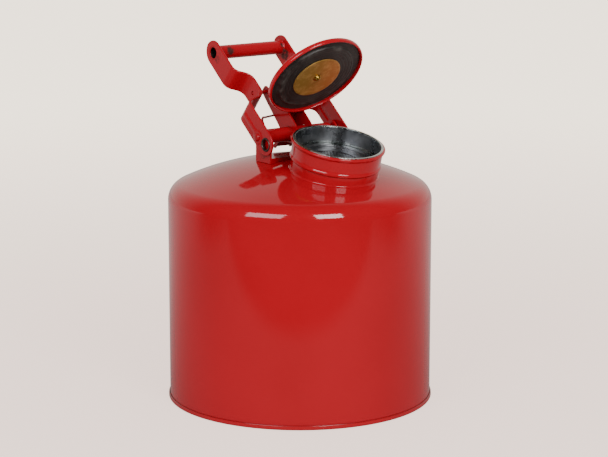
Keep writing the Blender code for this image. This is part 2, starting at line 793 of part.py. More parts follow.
def lid_nut():
    """The brass acorn nut in the middle of the retainer."""
    top = RETAINER_TOP - RETAINER_SHEET - GAP
    inner = STUD_RADIUS + GAP
    profile = [
        (NUT_RADIUS, top),
        (NUT_RADIUS, top - 1.6 * MM),
        (NUT_RADIUS * 0.86, top - 2.9 * MM),
        (inner, top - 3.6 * MM),
        (inner, top),
    ]
    return finish(place_on_lid(lathe("lid_nut", profile, steps=24)), BRASS_SHEET, LID)


def stud_washer():
    """The washer under the stud's upset end, on top of the lever arm."""
    low = ARM_UNDER + LEVER_ARM_HEIGHT + GAP
    profile = [
        (6.5 * MM, low + 1.0 * MM),
        (6.5 * MM, low),
        (STUD_RADIUS + GAP, low),
        (STUD_RADIUS + GAP, low + 1.0 * MM),
    ]
    return finish(place_on_lid(lathe("stud_washer", profile, steps=24)), BARE_STEEL, LID)


# ---------------------------------------------------------------- handle


def strap_path():
    """The strap's outer face as (x, z) points from its lower end to its top."""
    return [
        (STRAP_LOW_HALF, STRAP_END - MM),
        (STRAP_LOW_HALF, JOG_LOW),
        (STRAP_WAIST_HALF, WAIST_LOW),
        (STRAP_WAIST_HALF, WAIST_HIGH),
        (STRAP_TOP_HALF, JOG_HIGH),
        (STRAP_TOP_HALF, GRIP_REACH + STRAP_WIDTH),
    ]


def bent_strip(name, side):
    """The strap's bent sheet, wider than the strap, to be trimmed to its outline."""
    path = [Vector(p) for p in strap_path()]
    rounds = [path[0]]
    for before, corner, after in zip(path, path[1:], path[2:]):
        first = corner + (before - corner).normalized() * 5.5 * MM
        last = corner + (after - corner).normalized() * 5.5 * MM
        for k in range(5):
            t = k / 4
            rounds.append(first * (1 - t) ** 2 + corner * 2 * t * (1 - t) + last * t * t)
    rounds.append(path[-1])
    shape = bmesh.new()
    half = STRAP_WIDTH
    low = [shape.verts.new((side * p.x, -half, p.y)) for p in rounds]
    edges = [shape.edges.new(pair) for pair in zip(low, low[1:])]
    swept = bmesh.ops.extrude_edge_only(shape, edges=edges)["geom"]
    moved = [item for item in swept if isinstance(item, bmesh.types.BMVert)]
    bmesh.ops.translate(shape, vec=(0.0, 2 * half, 0.0), verts=moved)
    mesh = bpy.data.meshes.new(name)
    shape.to_mesh(mesh)
    shape.free()
    made = bpy.data.objects.new(name, mesh)
    PARTS.objects.link(made)
    sheet = made.modifiers.new("sheet", "SOLIDIFY")
    sheet.thickness = STRAP_SHEET
    sheet.offset = -1.0 if mesh.polygons[0].normal.x * side > 0 else 1.0
    sheet.use_even_offset = True
    return apply_modifiers(made)


def handle_strap(side, name):
    """One strap: joggled sheet with round ends, a pressed rib, a boss at the pin and its four holes."""
    made = bent_strip(name, side)
    middle = -STRAP_OFFSET
    half = STRAP_WIDTH / 2
    low = STRAP_END + half
    outline = arc((middle, GRIP_REACH), half, 0, 180, 14) + arc((middle, low), half, 180, 360, 14)
    boolean(made, plate(name + "_outline", outline, -80 * MM, 80 * MM, CUTTERS), "INTERSECT")
    face = STRAP_LOW_HALF
    rib_low, rib_high = BOSS_RADIUS - 2 * MM, JOG_LOW - 7 * MM
    rib = arc((middle + 3 * MM, rib_high), RIB_WIDTH / 2, 0, 180, 6)
    rib += arc((middle + 3 * MM, rib_low), RIB_WIDTH / 2, 180, 360, 6)
    ends = sorted((side * (face - MM), side * (face + RIB_RISE)))
    boolean(made, plate(name + "_rib", rib, *ends, CUTTERS), "UNION")
    boss = cylinder(
        name + "_boss", BOSS_RADIUS, (side * (face - MM), 0, 0), (side * (face + BOSS_RISE), 0, 0), CUTTERS, 28
    )
    boolean(made, boss, "UNION")
    for hole, radius, place in (
        ("pin", PIN_RADIUS + GAP, (0.0, 0.0)),
        ("bush", BUSH_RADIUS + GAP, (middle, STRAP_HOLE)),
        ("rod", ROD_RADIUS + GAP, (middle, ROD_REACH)),
        ("grip", GRIP_RADIUS + GAP, (middle, GRIP_REACH)),
    ):
        ends = [(side * x, *place) for x in (20 * MM, 70 * MM)]
        boolean(made, cylinder(f"{name}_{hole}", radius, *ends, CUTTERS, 32), "DIFFERENCE")
    return finish(made, RED_PART, HANDLE, 28.0)


def handle_grip():
    """The grip, an open tube through the top of both straps."""
    centre = Vector((0.0, -STRAP_OFFSET, GRIP_REACH))
    return finish(tube("handle_grip", GRIP_RADIUS, GRIP_RADIUS - GRIP_WALL, STRAP_TOP_HALF, centre), RED_PART, HANDLE)


def waist_rod():
    """The rod across the waist of the handle, which carries the lever's tail."""
    half = STRAP_WAIST_HALF - 0.6 * MM
    ends = [(x, -STRAP_OFFSET, ROD_REACH) for x in (-half, half)]
    return finish(cylinder("waist_rod", ROD_RADIUS, *ends, sides=20), RED_PART, HANDLE)


def strap_bush(side, name):
    """The bare steel eyelet in the lower end of a strap."""
    half = (STRAP_SHEET + 0.6 * MM) / 2
    centre = Vector((side * (STRAP_LOW_HALF - STRAP_SHEET / 2), -STRAP_OFFSET, STRAP_HOLE))
    return finish(tube(name, BUSH_RADIUS, BUSH_BORE, half, centre, sides=32), BARE_STEEL, HANDLE)


clear_scene()
PARTS = collection("safety_gas_can")
CUTTERS = collection("cutters", hidden=True)

RED_BODY = material("red_enamel_body", RED, 0.22)
RED_PART = material("red_enamel_hardware", RED, 0.34)
BARE_STEEL = material("galvanised_steel", STEEL, 0.38, 1.0)
BLACK_RUBBER = material("black_rubber", RUBBER, 0.6)
BRASS_SHEET = material("brass", BRASS, 0.36, 1.0)

PIN_PLACE = Vector((0.0, PIN_BACK, PIN_HEIGHT))
NECK = empty("neck_frame", (0.0, -NECK_FORWARD, NECK_HEIGHT), NECK_TILT)
LID = empty("lid_frame", PIN_PLACE, -LID_OPEN)
HANDLE = empty("handle_frame", PIN_PLACE, -(math.pi / 2 - HANDLE_LEAN))

GASKET_FACE = MOUTH_ABOVE_PIN + GAP
CAP_SEAT = GASKET_FACE + GASKET_SEAT + GAP
CAP_RIM_LOW = CAP_SEAT + CAP_SHEET - CAP_RIM_HEIGHT - 1.6 * MM
RETAINER_TOP = GASKET_FACE - GASKET_PAD - GAP
ARM_UNDER = CAP_SEAT + CAP_SHEET + GAP

body_shell()
side_seam()
bottom_chime()
base_pan()
neck_collar()
neck_foot()
neck_liner()
arrester_ring()
flame_arrester()
hinge_bracket()
hinge_pin()
for sign, label in ((-1, "left"), (1, "right")):
    pin_head(sign, f"pin_head_{label}")
    ear_spacer(sign, f"ear_spacer_{label}")
lid_lever()
lever_barrel()
lid_spring()
lid_cap()
lid_gasket()
gasket_retainer()
lid_stud()
lid_nut()
stud_washer()
for sign, label in ((-1, "left"), (1, "right")):
    handle_strap(sign, f"handle_strap_{label}")
    strap_bush(sign, f"strap_eyelet_{label}")
handle_grip()
waist_rod()
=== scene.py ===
"""Looks of the safety gas can: enamelled steel body, bare neck, gasketed lid and strap handle.

Lengths in the dataclasses are millimetres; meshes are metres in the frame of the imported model.
"""

import json
import logging
import math
from dataclasses import dataclass, field
from enum import Enum
from typing import Callable, Iterable, Sequence

import bmesh
import bpy
from mathutils import Matrix, Vector


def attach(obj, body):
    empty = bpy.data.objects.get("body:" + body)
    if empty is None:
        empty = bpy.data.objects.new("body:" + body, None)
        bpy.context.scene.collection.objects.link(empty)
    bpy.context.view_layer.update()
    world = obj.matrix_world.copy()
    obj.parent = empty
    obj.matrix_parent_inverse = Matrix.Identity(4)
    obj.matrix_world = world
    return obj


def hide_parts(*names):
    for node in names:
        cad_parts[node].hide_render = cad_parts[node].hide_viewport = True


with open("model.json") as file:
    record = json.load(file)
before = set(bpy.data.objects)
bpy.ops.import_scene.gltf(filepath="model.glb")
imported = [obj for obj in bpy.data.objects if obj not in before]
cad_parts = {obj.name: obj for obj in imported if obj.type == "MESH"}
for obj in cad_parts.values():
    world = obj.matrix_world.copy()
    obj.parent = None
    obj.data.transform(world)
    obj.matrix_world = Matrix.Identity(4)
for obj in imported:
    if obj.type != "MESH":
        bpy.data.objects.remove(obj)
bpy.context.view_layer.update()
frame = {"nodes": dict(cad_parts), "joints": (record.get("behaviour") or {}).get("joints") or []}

LOG = logging.getLogger("gas_can")
MM = 0.001
ROUND = 160  # steps of a round piece about its axis
BIG_ROUND = 320  # steps of the can's own wall
PIN = Vector(frame["joints"][0]["pos_m"])

Line = list[tuple[float, float]]


class Body(Enum):
    """The moving bodies of the model."""

    CAN = "can"
    LID = "lid"
    HANDLE = "handle"


class Slot(Enum):
    """The material slots of the record."""

    BODY_ENAMEL = "red_enamel_body"
    PART_ENAMEL = "red_enamel_hardware"
    ZINC = "galvanised_steel"
    RUBBER = "black_rubber"
    BRASS = "brass"


# ---------------------------------------------------------------- places


@dataclass(frozen=True)
class Tilt:
    """A local frame of the can: a place in millimetres and a turn about X in degrees."""

    y: float
    z: float
    turn: float

    def matrix(self) -> Matrix:
        """The frame as a matrix in metres."""
        place = Matrix.Translation((0.0, self.y * MM, self.z * MM))
        return place @ Matrix.Rotation(math.radians(self.turn), 4, "X")


NECK = Tilt(-75.7, 318.7, 13.5)
LID = Tilt(PIN.y / MM, PIN.z / MM, -49.3)
HANDLE = Tilt(PIN.y / MM, PIN.z / MM, -50.8)
LID_REACH = 78.91  # from the pin to the middle of the lid
STRAP_Y = -4.7  # the straps' middle line, in the handle's frame
ROD_Z = 65.0  # the waist rod, above the pin in the handle's frame


def lid_middle() -> Matrix:
    """The frame whose Z is the lid's axis, level with the pin."""
    return LID.matrix() @ Matrix.Translation((0.0, -LID_REACH * MM, 0.0))


def across() -> Matrix:
    """Turns a piece made about Z so that its axis is X."""
    return Matrix.Rotation(math.pi / 2, 4, "Y")


# ---------------------------------------------------------------- shapes


@dataclass(frozen=True)
class Corner:
    """A corner of a turned profile: radius, height and the fillet that rounds it."""

    r: float
    z: float
    fillet: float = 0.0


def rounded_line(corners: Sequence[Corner], closed: bool, steps: int = 6) -> Line:
    """Rounds the corners of a profile.

    Args:
        corners: The profile's corners in order.
        closed: Whether the last corner joins the first.
        steps: Segments in each fillet.

    Returns:
        The points of the profile in millimetres.
    """
    line: Line = []
    count = len(corners)
    for i, corner in enumerate(corners):
        here = Vector((corner.r, corner.z))
        end = not closed and i in (0, count - 1)
        if end or corner.fillet <= 0.0:
            line.append((corner.r, corner.z))
            continue
        before, after = corners[i - 1], corners[(i + 1) % count]
        back = Vector((before.r, before.z)) - here
        ahead = Vector((after.r, after.z)) - here
        cut = min(corner.fillet, back.length * 0.49, ahead.length * 0.49)
        first, last = here + back.normalized() * cut, here + ahead.normalized() * cut
        for k in range(steps + 1):
            t = k / steps
            spot = first * (1 - t) ** 2 + here * (2 * t * (1 - t)) + last * t**2
            line.append((spot.x, spot.y))
    return line


def turned(line: Line, closed: bool = True, steps: int = ROUND) -> bmesh.types.BMesh:
    """Spins a profile about Z.

    Args:
        line: Points of radius and height in millimetres.
        closed: Whether the profile is a closed loop.
        steps: Steps of the full turn.

    Returns:
        The turned shape.
    """
    shape = bmesh.new()
    spots = [shape.verts.new((r * MM, 0.0, z * MM)) for r, z in line]
    edges = [shape.edges.new(pair) for pair in zip(spots, spots[1:])]
    if closed:
        edges.append(shape.edges.new((spots[-1], spots[0])))
    bmesh.ops.spin(
        shape,
        geom=spots + edges,
        cent=(0.0, 0.0, 0.0),
        axis=(0.0, 0.0, 1.0),
        dvec=(0.0, 0.0, 0.0),
        angle=math.tau,
        steps=steps,
        use_merge=True,
        use_duplicate=False,
    )
    bmesh.ops.remove_doubles(shape, verts=shape.verts, dist=1e-7)
    bmesh.ops.recalc_face_normals(shape, faces=shape.faces)
    return shape


def tube_shape(outer: float, inner: float, half: float, fillet: float) -> bmesh.types.BMesh:
    """A tube along X with rounded lips, sizes in millimetres."""
    line = rounded_line(
        [
            Corner(outer, half, fillet),
            Corner(outer, -half, fillet),
            Corner(inner, -half, fillet),
            Corner(inner, half, fillet),
        ],
        True,
        3,
    )
    shape = turned(line, steps=64)
    bmesh.ops.transform(shape, matrix=across(), verts=shape.verts)
    return shape


def shift(shape: bmesh.types.BMesh, x: float, y: float, z: float) -> bmesh.types.BMesh:
    """Moves a shape by millimetres."""
    bmesh.ops.translate(shape, vec=(x * MM, y * MM, z * MM), verts=shape.verts)
    return shape


def to_mesh(name: str, shape: bmesh.types.BMesh, place: Matrix | None = None) -> bpy.types.Object:
    """Makes an object of a shape, with its place baked into the mesh."""
    if place is not None:
        bmesh.ops.transform(shape, matrix=place, verts=shape.verts)
    mesh = bpy.data.meshes.new(name)
    shape.to_mesh(mesh)
    shape.free()
    made = bpy.data.objects.new(name, mesh)
    bpy.context.scene.collection.objects.link(made)
    return made


def keep_result(made: bpy.types.Object) -> bpy.types.Object:
    """Applies an object's modifiers to its mesh."""
    graph = bpy.context.evaluated_depsgraph_get()
    graph.update()
    mesh = bpy.data.meshes.new_from_object(made.evaluated_get(graph), depsgraph=graph)
    made.modifiers.clear()
    made.data = mesh
    return made


def cut(made: bpy.types.Object, cutters: Iterable[bmesh.types.BMesh]) -> bpy.types.Object:
    """Cuts shapes out of an object, one boolean each."""
    for shape in cutters:
        cutter = to_mesh(made.name + "_cutter", shape)
        step = made.modifiers.new("cut", "BOOLEAN")
        step.operation = "DIFFERENCE"
        step.object = cutter
        keep_result(made)
        bpy.data.objects.remove(cutter, do_unlink=True)
    return made


def rod(radius: float, start: Vector, end: Vector, sides: int = 48) -> bmesh.types.BMesh:
    """A plain cylinder between two points in millimetres."""
    line = end - start
    shape = bmesh.new()
    bmesh.ops.create_cone(
        shape,
        cap_ends=True,
        segments=sides,
        radius1=radius * MM,
        radius2=radius * MM,
        depth=line.length * MM,
    )
    place = Matrix.Translation((start + end) / 2 * MM) @ line.to_track_quat("Z", "Y").to_matrix().to_4x4()
    bmesh.ops.transform(shape, matrix=place, verts=shape.verts)
    return shape


def refined_copy(
    node: str, width: float, big: Callable | None = None, big_width: float = 0.0
) -> bmesh.types.BMesh:
    """Copies a CAD node as a clean shape with its edges rounded.

    Args:
        node: Name of the CAD node.
        width: Width of the small bevel on its sharp edges, in millimetres.
        big: Chooses the edges that are bent sheet and get the wider bevel.
        big_width: Width of that bevel, in millimetres.

    Returns:
        The refined shape.
    """
    shape = bmesh.new()
    shape.from_mesh(frame["nodes"][node].data)
    bmesh.ops.remove_doubles(shape, verts=shape.verts, dist=1e-6)
    bmesh.ops.dissolve_limit(shape, angle_limit=math.radians(0.6), verts=shape.verts, edges=shape.edges)
    sharp_angle = math.radians(32)

    def sharp() -> list[bmesh.types.BMEdge]:
        """The edges that are sharper than the angle of a smooth bend."""
        return [e for e in shape.edges if len(e.link_faces) == 2 and e.calc_face_angle(0.0) > sharp_angle]

    if big is not None:
        chosen = [e for e in sharp() if big(e)]
        bmesh.ops.bevel(
            shape,
            geom=chosen,
            offset=big_width * MM,
            segments=5,
            profile=0.5,
            affect="EDGES",
            clamp_overlap=True,
            material=-1,
        )
    bmesh.ops.bevel(
        shape,
        geom=sharp(),
        offset=width * MM,
        segments=2,
        profile=0.5,
        affect="EDGES",
        clamp_overlap=True,
        material=-1,
    )
    return shape


# ---------------------------------------------------------------- finishes


def linear(code: str) -> tuple[float, float, float, float]:
    """Turns an sRGB hex code into a linear colour."""
    parts = [int(code[i : i + 2], 16) / 255 for i in (1, 3, 5)]
    low = [c / 12.92 if c <= 0.04045 else ((c + 0.055) / 1.055) ** 2.4 for c in parts]
    return (low[0], low[1], low[2], 1.0)


def add_node(tree: bpy.types.NodeTree, kind: str, inputs: dict | None = None, **settings) -> bpy.types.Node:
    """Adds a node to a tree.

    Args:
        tree: The node tree.
        kind: The node's type name.
        inputs: Values or output sockets for its inputs, by name or number.
        settings: The node's own properties.

    Returns:
        The node.
    """
    made = tree.nodes.new(kind)
    for key, value in settings.items():
        setattr(made, key, value)
    for key, value in (inputs or {}).items():
        if isinstance(value, bpy.types.NodeSocket):
            tree.links.new(value, made.inputs[key])
        else:
            made.inputs[key].default_value = value
    return made


def maths(tree: bpy.types.NodeTree, operation: str, a, b=0.0) -> bpy.types.NodeSocket:
    """The result of an operation on two values or sockets."""
    return add_node(tree, "ShaderNodeMath", {0: a, 1: b}, operation=operation).outputs[0]


def ramp(
    tree: bpy.types.NodeTree, value, low: float, high: float, out_low: float = 0.0, out_high: float = 1.0
) -> bpy.types.NodeSocket:
    """A smooth step of a value from one range to another."""
    step = add_node(
        tree,
        "ShaderNodeMapRange",
        {"Value": value, "From Min": low, "From Max": high, "To Min": out_low, "To Max": out_high},
        interpolation_type="SMOOTHSTEP",
    )
    return step.outputs["Result"]


def mixed(tree: bpy.types.NodeTree, share, first, second) -> bpy.types.NodeSocket:
    """A mix of two colours, given as colours or sockets."""
    made = add_node(tree, "ShaderNodeMix", {"Factor": share, 6: first, 7: second}, data_type="RGBA")
    return made.outputs[2]


def noise(tree: bpy.types.NodeTree, where, size: float, detail: float = 3.0, rough: float = 0.5):
    """A noise whose features are about a size in millimetres."""
    made = add_node(
        tree,
        "ShaderNodeTexNoise",
        {"Vector": where, "Scale": 1.0 / (size * MM), "Detail": detail, "Roughness": rough},
    )
    return made.outputs["Fac"]


def local(tree: bpy.types.NodeTree, place: Matrix) -> bpy.types.NodeSocket:
    """Object coordinates as seen from a local frame."""
    where = add_node(tree, "ShaderNodeTexCoord").outputs["Object"]
    made = add_node(
        tree,
        "ShaderNodeMapping",
        {"Vector": where, "Location": place.to_translation(), "Rotation": place.to_euler()},
        vector_type="TEXTURE",
    )
    return made.outputs["Vector"]


def along(
    tree: bpy.types.NodeTree, where: bpy.types.NodeSocket, way: tuple[float, float, float]
) -> bpy.types.NodeSocket:
    """How far a point lies along a direction."""
    product = add_node(tree, "ShaderNodeVectorMath", {0: where, 1: way}, operation="DOT_PRODUCT")
    return product.outputs["Value"]


def from_axis(tree: bpy.types.NodeTree, where: bpy.types.NodeSocket) -> bpy.types.NodeSocket:
    """Distance from the Z axis of a local frame."""
    flat = add_node(tree, "ShaderNodeVectorMath", {0: where, 1: (1.0, 1.0, 0.0)}, operation="MULTIPLY")
    length = add_node(tree, "ShaderNodeVectorMath", {0: flat.outputs[0]}, operation="LENGTH")
    return length.outputs["Value"]


@dataclass(frozen=True)
class Spot:
    """A worn or grimy place: its middle in metres, its radius in millimetres and how strong it is."""

    place: tuple[float, float, float]
    radius: float
    strength: float = 1.0


@dataclass(frozen=True)
class Band:
    """A darker line round an axis: the axis frame, its height, its half width and its strength."""

    home: Tilt
    height: float
    half: float
    strength: float


@dataclass(frozen=True)
class Enamel:
    """Stoved gloss enamel on steel.

    One hard glossy coat: mirror-like at a glance, with a faint orange peel, a little unevenness of
    shade where the coat is thin, and chips and handling grime where the part is gripped or welded.
    Its bands are darker lines round an axis, which on the neck are painted shade.
    """

    name: str
    colour: str = "#950E1A"
    thin: str = "#900D18"
    roughness: float = 0.07
    unevenness: float = 0.03
    gloss: float = 0.5
    peel: float = 3.0
    peel_height: float = 0.004
    spots: tuple[Spot, ...] = ()
    bands: tuple[Band, ...] = ()
    grime_and_shade: str = "#2A1A16"

    def make(self) -> bpy.types.Material:
        """Builds the node material."""
        made = bpy.data.materials.new(self.name)
        made.use_nodes = True
        tree = made.node_tree
        shader = tree.nodes["Principled BSDF"]
        where = add_node(tree, "ShaderNodeTexCoord").outputs["Object"]
        shade = ramp(tree, noise(tree, where, 140.0, 2.0), 0.35, 0.7)
        colour = mixed(tree, shade, linear(self.colour), linear(self.thin))
        speck = ramp(tree, noise(tree, where, 1.6, 1.0), 0.74, 0.8, 0.0, 0.25)
        colour = mixed(tree, speck, colour, linear("#5E0D10"))
        worn = noise(tree, where, 18.0, 5.0, 0.65)
        rub = ramp(tree, worn, 0.4, 0.75, self.roughness, self.roughness + self.unevenness)
        grime_and_painted_shade = self.grime_and_painted_shade(tree, where)
        # Grime spots and the bands' painted shade darken the colour towards one dark tone.
        if grime_and_painted_shade is not None:
            colour = mixed(tree, grime_and_painted_shade, colour, linear(self.grime_and_shade))
            rub = maths(tree, "ADD", rub, maths(tree, "MULTIPLY", grime_and_painted_shade, 0.4))
        peel = noise(tree, where, self.peel, 2.0)
        bump = add_node(
            tree,
            "ShaderNodeBump",
            {"Height": peel, "Strength": 0.35, "Distance": self.peel_height * MM},
        )
        tree.links.new(colour, shader.inputs["Base Color"])
        tree.links.new(rub, shader.inputs["Roughness"])
        tree.links.new(bump.outputs["Normal"], shader.inputs["Normal"])
        shader.inputs["IOR"].default_value = 1.55
        shader.inputs["Specular IOR Level"].default_value = self.gloss
        return made

    def grime_and_painted_shade(self, tree: bpy.types.NodeTree, where: bpy.types.NodeSocket) -> bpy.types.NodeSocket | None:
        """The share of grime and painted shade at each point, or None where there is none."""
        total = None
        patch = noise(tree, where, 5.0, 5.0, 0.7)
        for spot in self.spots:
            gap = add_node(tree, "ShaderNodeVectorMath", {0: where, 1: spot.place}, operation="DISTANCE")
            near = ramp(tree, gap.outputs["Value"], spot.radius * MM * 0.3, spot.radius * MM, 1.0, 0.0)
            rough = ramp(tree, maths(tree, "ADD", patch, maths(tree, "MULTIPLY", near, 0.35)), 0.66, 0.86)
            part = maths(tree, "MULTIPLY", maths(tree, "MULTIPLY", rough, near), spot.strength)
            total = part if total is None else maths(tree, "MAXIMUM", total, part)
        # Bands: darker lines round an axis, which on the neck are painted shade.
        for band in self.bands:
            place = local(tree, band.home.matrix())
            height = add_node(tree, "ShaderNodeSeparateXYZ", {0: place}).outputs["Z"]
            off = maths(tree, "ABSOLUTE", maths(tree, "SUBTRACT", height, band.height * MM))
            part = ramp(tree, off, 0.0, band.half * MM, band.strength, 0.0)
            total = part if total is None else maths(tree, "MAXIMUM", total, part)
        return total


@dataclass(frozen=True)
class Galvanised:
    """Zinc-dipped steel, mottled grey with soft spangle, stains and drawing lines."""

    name: str
    light: str = "#A0A2A5"
    dark: str = "#737578"
    stain: str = "#2E3330"
    roughness: float = 0.3
    spangle: float = 9.0
    stain_size: float = 14.0

    def make(self) -> bpy.types.Material:
        """Builds the node material."""
        made = bpy.data.materials.new(self.name)
        made.use_nodes = True
        tree = made.node_tree
        shader = tree.nodes["Principled BSDF"]
        where = add_node(tree, "ShaderNodeTexCoord").outputs["Object"]
        cells = add_node(tree, "ShaderNodeTexVoronoi", {"Vector": where, "Scale": 1.0 / (self.spangle * MM)})
        tone = maths(tree, "MULTIPLY", cells.outputs["Color"], 1.0)
        cloud = noise(tree, where, 22.0, 4.0, 0.6)
        share = ramp(tree, maths(tree, "ADD", maths(tree, "MULTIPLY", tone, 0.35), cloud), 0.35, 0.95)
        colour = mixed(tree, share, linear(self.dark), linear(self.light))
        mark = ramp(tree, noise(tree, where, self.stain_size, 6.0, 0.7), 0.56, 0.72, 0.0, 0.4)
        colour = mixed(tree, mark, colour, linear(self.stain))
        dull = ramp(tree, cloud, 0.3, 0.7, self.roughness - 0.06, self.roughness + 0.12)
        dull = maths(tree, "ADD", dull, maths(tree, "MULTIPLY", mark, 0.2))
        bump = add_node(
            tree,
            "ShaderNodeBump",
            {"Height": noise(tree, where, 2.5, 4.0), "Strength": 0.5, "Distance": 0.012 * MM},
        )
        tree.links.new(colour, shader.inputs["Base Color"])
        tree.links.new(dull, shader.inputs["Roughness"])
        tree.links.new(bump.outputs["Normal"], shader.inputs["Normal"])
        shader.inputs["Metallic"].default_value = 1.0
        return made


@dataclass(frozen=True)
class GasketRubber:
    """Moulded nitrile rubber, near black, with turning lines and a grey worn track."""

    name: str
    colour: str = "#1D1917"
    worn: str = "#4A4845"
    track: float = 47.0

    def make(self) -> bpy.types.Material:
        """Builds the node material."""
        made = bpy.data.materials.new(self.name)
        made.use_nodes = True
        tree = made.node_tree
        shader = tree.nodes["Principled BSDF"]
        where = local(tree, lid_middle())
        radius = from_axis(tree, where)
        rings = maths(tree, "SINE", maths(tree, "MULTIPLY", radius, math.tau / (2.2 * MM)))
        cloud = noise(tree, where, 16.0, 5.0, 0.65)
        off = maths(tree, "ABSOLUTE", maths(tree, "SUBTRACT", radius, self.track * MM))
        track = ramp(tree, off, 0.0, 7.0 * MM, 1.0, 0.0)
        wear = maths(tree, "MULTIPLY", track, ramp(tree, cloud, 0.42, 0.68))
        dust = ramp(tree, noise(tree, where, 34.0, 4.0, 0.6), 0.45, 0.8, 0.0, 0.35)
        share = maths(tree, "MAXIMUM", maths(tree, "MULTIPLY", wear, 0.75), dust)
        share = maths(tree, "ADD", share, maths(tree, "MULTIPLY", rings, 0.035))
        colour = mixed(tree, share, linear(self.colour), linear(self.worn))
        tree.links.new(colour, shader.inputs["Base Color"])
        tree.links.new(ramp(tree, cloud, 0.3, 0.8, 0.42, 0.62), shader.inputs["Roughness"])
        height = maths(tree, "ADD", maths(tree, "MULTIPLY", rings, 0.5), cloud)
        bump = add_node(tree, "ShaderNodeBump", {"Height": height, "Strength": 0.6, "Distance": 0.05 * MM})
        tree.links.new(bump.outputs["Normal"], shader.inputs["Normal"])
        shader.inputs["IOR"].default_value = 1.52
        return made


@dataclass(frozen=True)
class Brass:
    """Turned sheet brass gone brown with tarnish, lighter where it is rubbed, with fine rings, and painted
    shade that makes its low-X side darker and more olive.
    """

    name: str
    bright: str = "#DDB066"
    tarnish: str = "#B8743C"
    shaded_side_olive: str = "#9C7836"
    roughness: float = 0.42
    metallic: float = 0.72

    def make(self) -> bpy.types.Material:
        """Builds the node material."""
        made = bpy.data.materials.new(self.name)
        made.use_nodes = True
        tree = made.node_tree
        shader = tree.nodes["Principled BSDF"]
        where = local(tree, lid_middle())
        radius = from_axis(tree, where)
        rings = maths(tree, "SINE", maths(tree, "MULTIPLY", radius, math.tau / (1.3 * MM)))
        cloud = noise(tree, where, 15.0, 6.0, 0.7)
        # Painted shade: the low-X side is painted darker and more olive than the other.
        side = ramp(tree, add_node(tree, "ShaderNodeSeparateXYZ", {0: where}).outputs["X"], -0.02, 0.03)
        colour = mixed(tree, side, linear(self.shaded_side_olive), linear(self.tarnish))
        rubbed = ramp(tree, cloud, 0.4, 0.75, 0.0, 0.6)
        lift = maths(tree, "ADD", rubbed, maths(tree, "MULTIPLY", rings, 0.05))
        colour = mixed(tree, lift, colour, linear(self.bright))
        tree.links.new(colour, shader.inputs["Base Color"])
        dull = ramp(tree, cloud, 0.3, 0.8, self.roughness + 0.1, self.roughness - 0.08)
        tree.links.new(dull, shader.inputs["Roughness"])
        height = maths(tree, "ADD", maths(tree, "MULTIPLY", rings, 0.3), cloud)
        bump = add_node(tree, "ShaderNodeBump", {"Height": height, "Strength": 0.5, "Distance": 0.03 * MM})
        tree.links.new(bump.outputs["Normal"], shader.inputs["Normal"])
        shader.inputs["Metallic"].default_value = self.metallic
        return made


# ---------------------------------------------------------------- pieces


@dataclass
class Assembly:
    """Pieces that ride on one body."""

    body: Body

    def fit(
        self,
        made: bpy.types.Object,
        finish: bpy.types.Material,
        slot: Slot,
        nodes: Sequence[str],
        edge: float = 32.0,
        weighted: bool = True,
    ) -> bpy.types.Object:
        """Dresses a piece and fits it to the body.

        Args:
            made: The piece, with its place in its mesh.
            finish: Its material.
            slot: The record's slot that the material stands for; not used.
            nodes: The CAD nodes that it stands for.
            edge: Angle above which an edge stays sharp, in degrees.
            weighted: Whether large faces hold their own normals.

        Returns:
            The piece.
        """
        made.data.materials.clear()
        made.data.materials.append(finish)
        made.data.shade_smooth()
        if weighted:
            made.data.set_sharp_from_angle(angle=math.radians(edge))
            flat = made.modifiers.new("even_faces", "WEIGHTED_NORMAL")
            flat.keep_sharp = True
        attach(made, self.body.value)
        if nodes:
            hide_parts(*nodes)
        LOG.info("%s: %s (%d faces)", self.body.value, made.name, len(made.data.polygons))
        return made


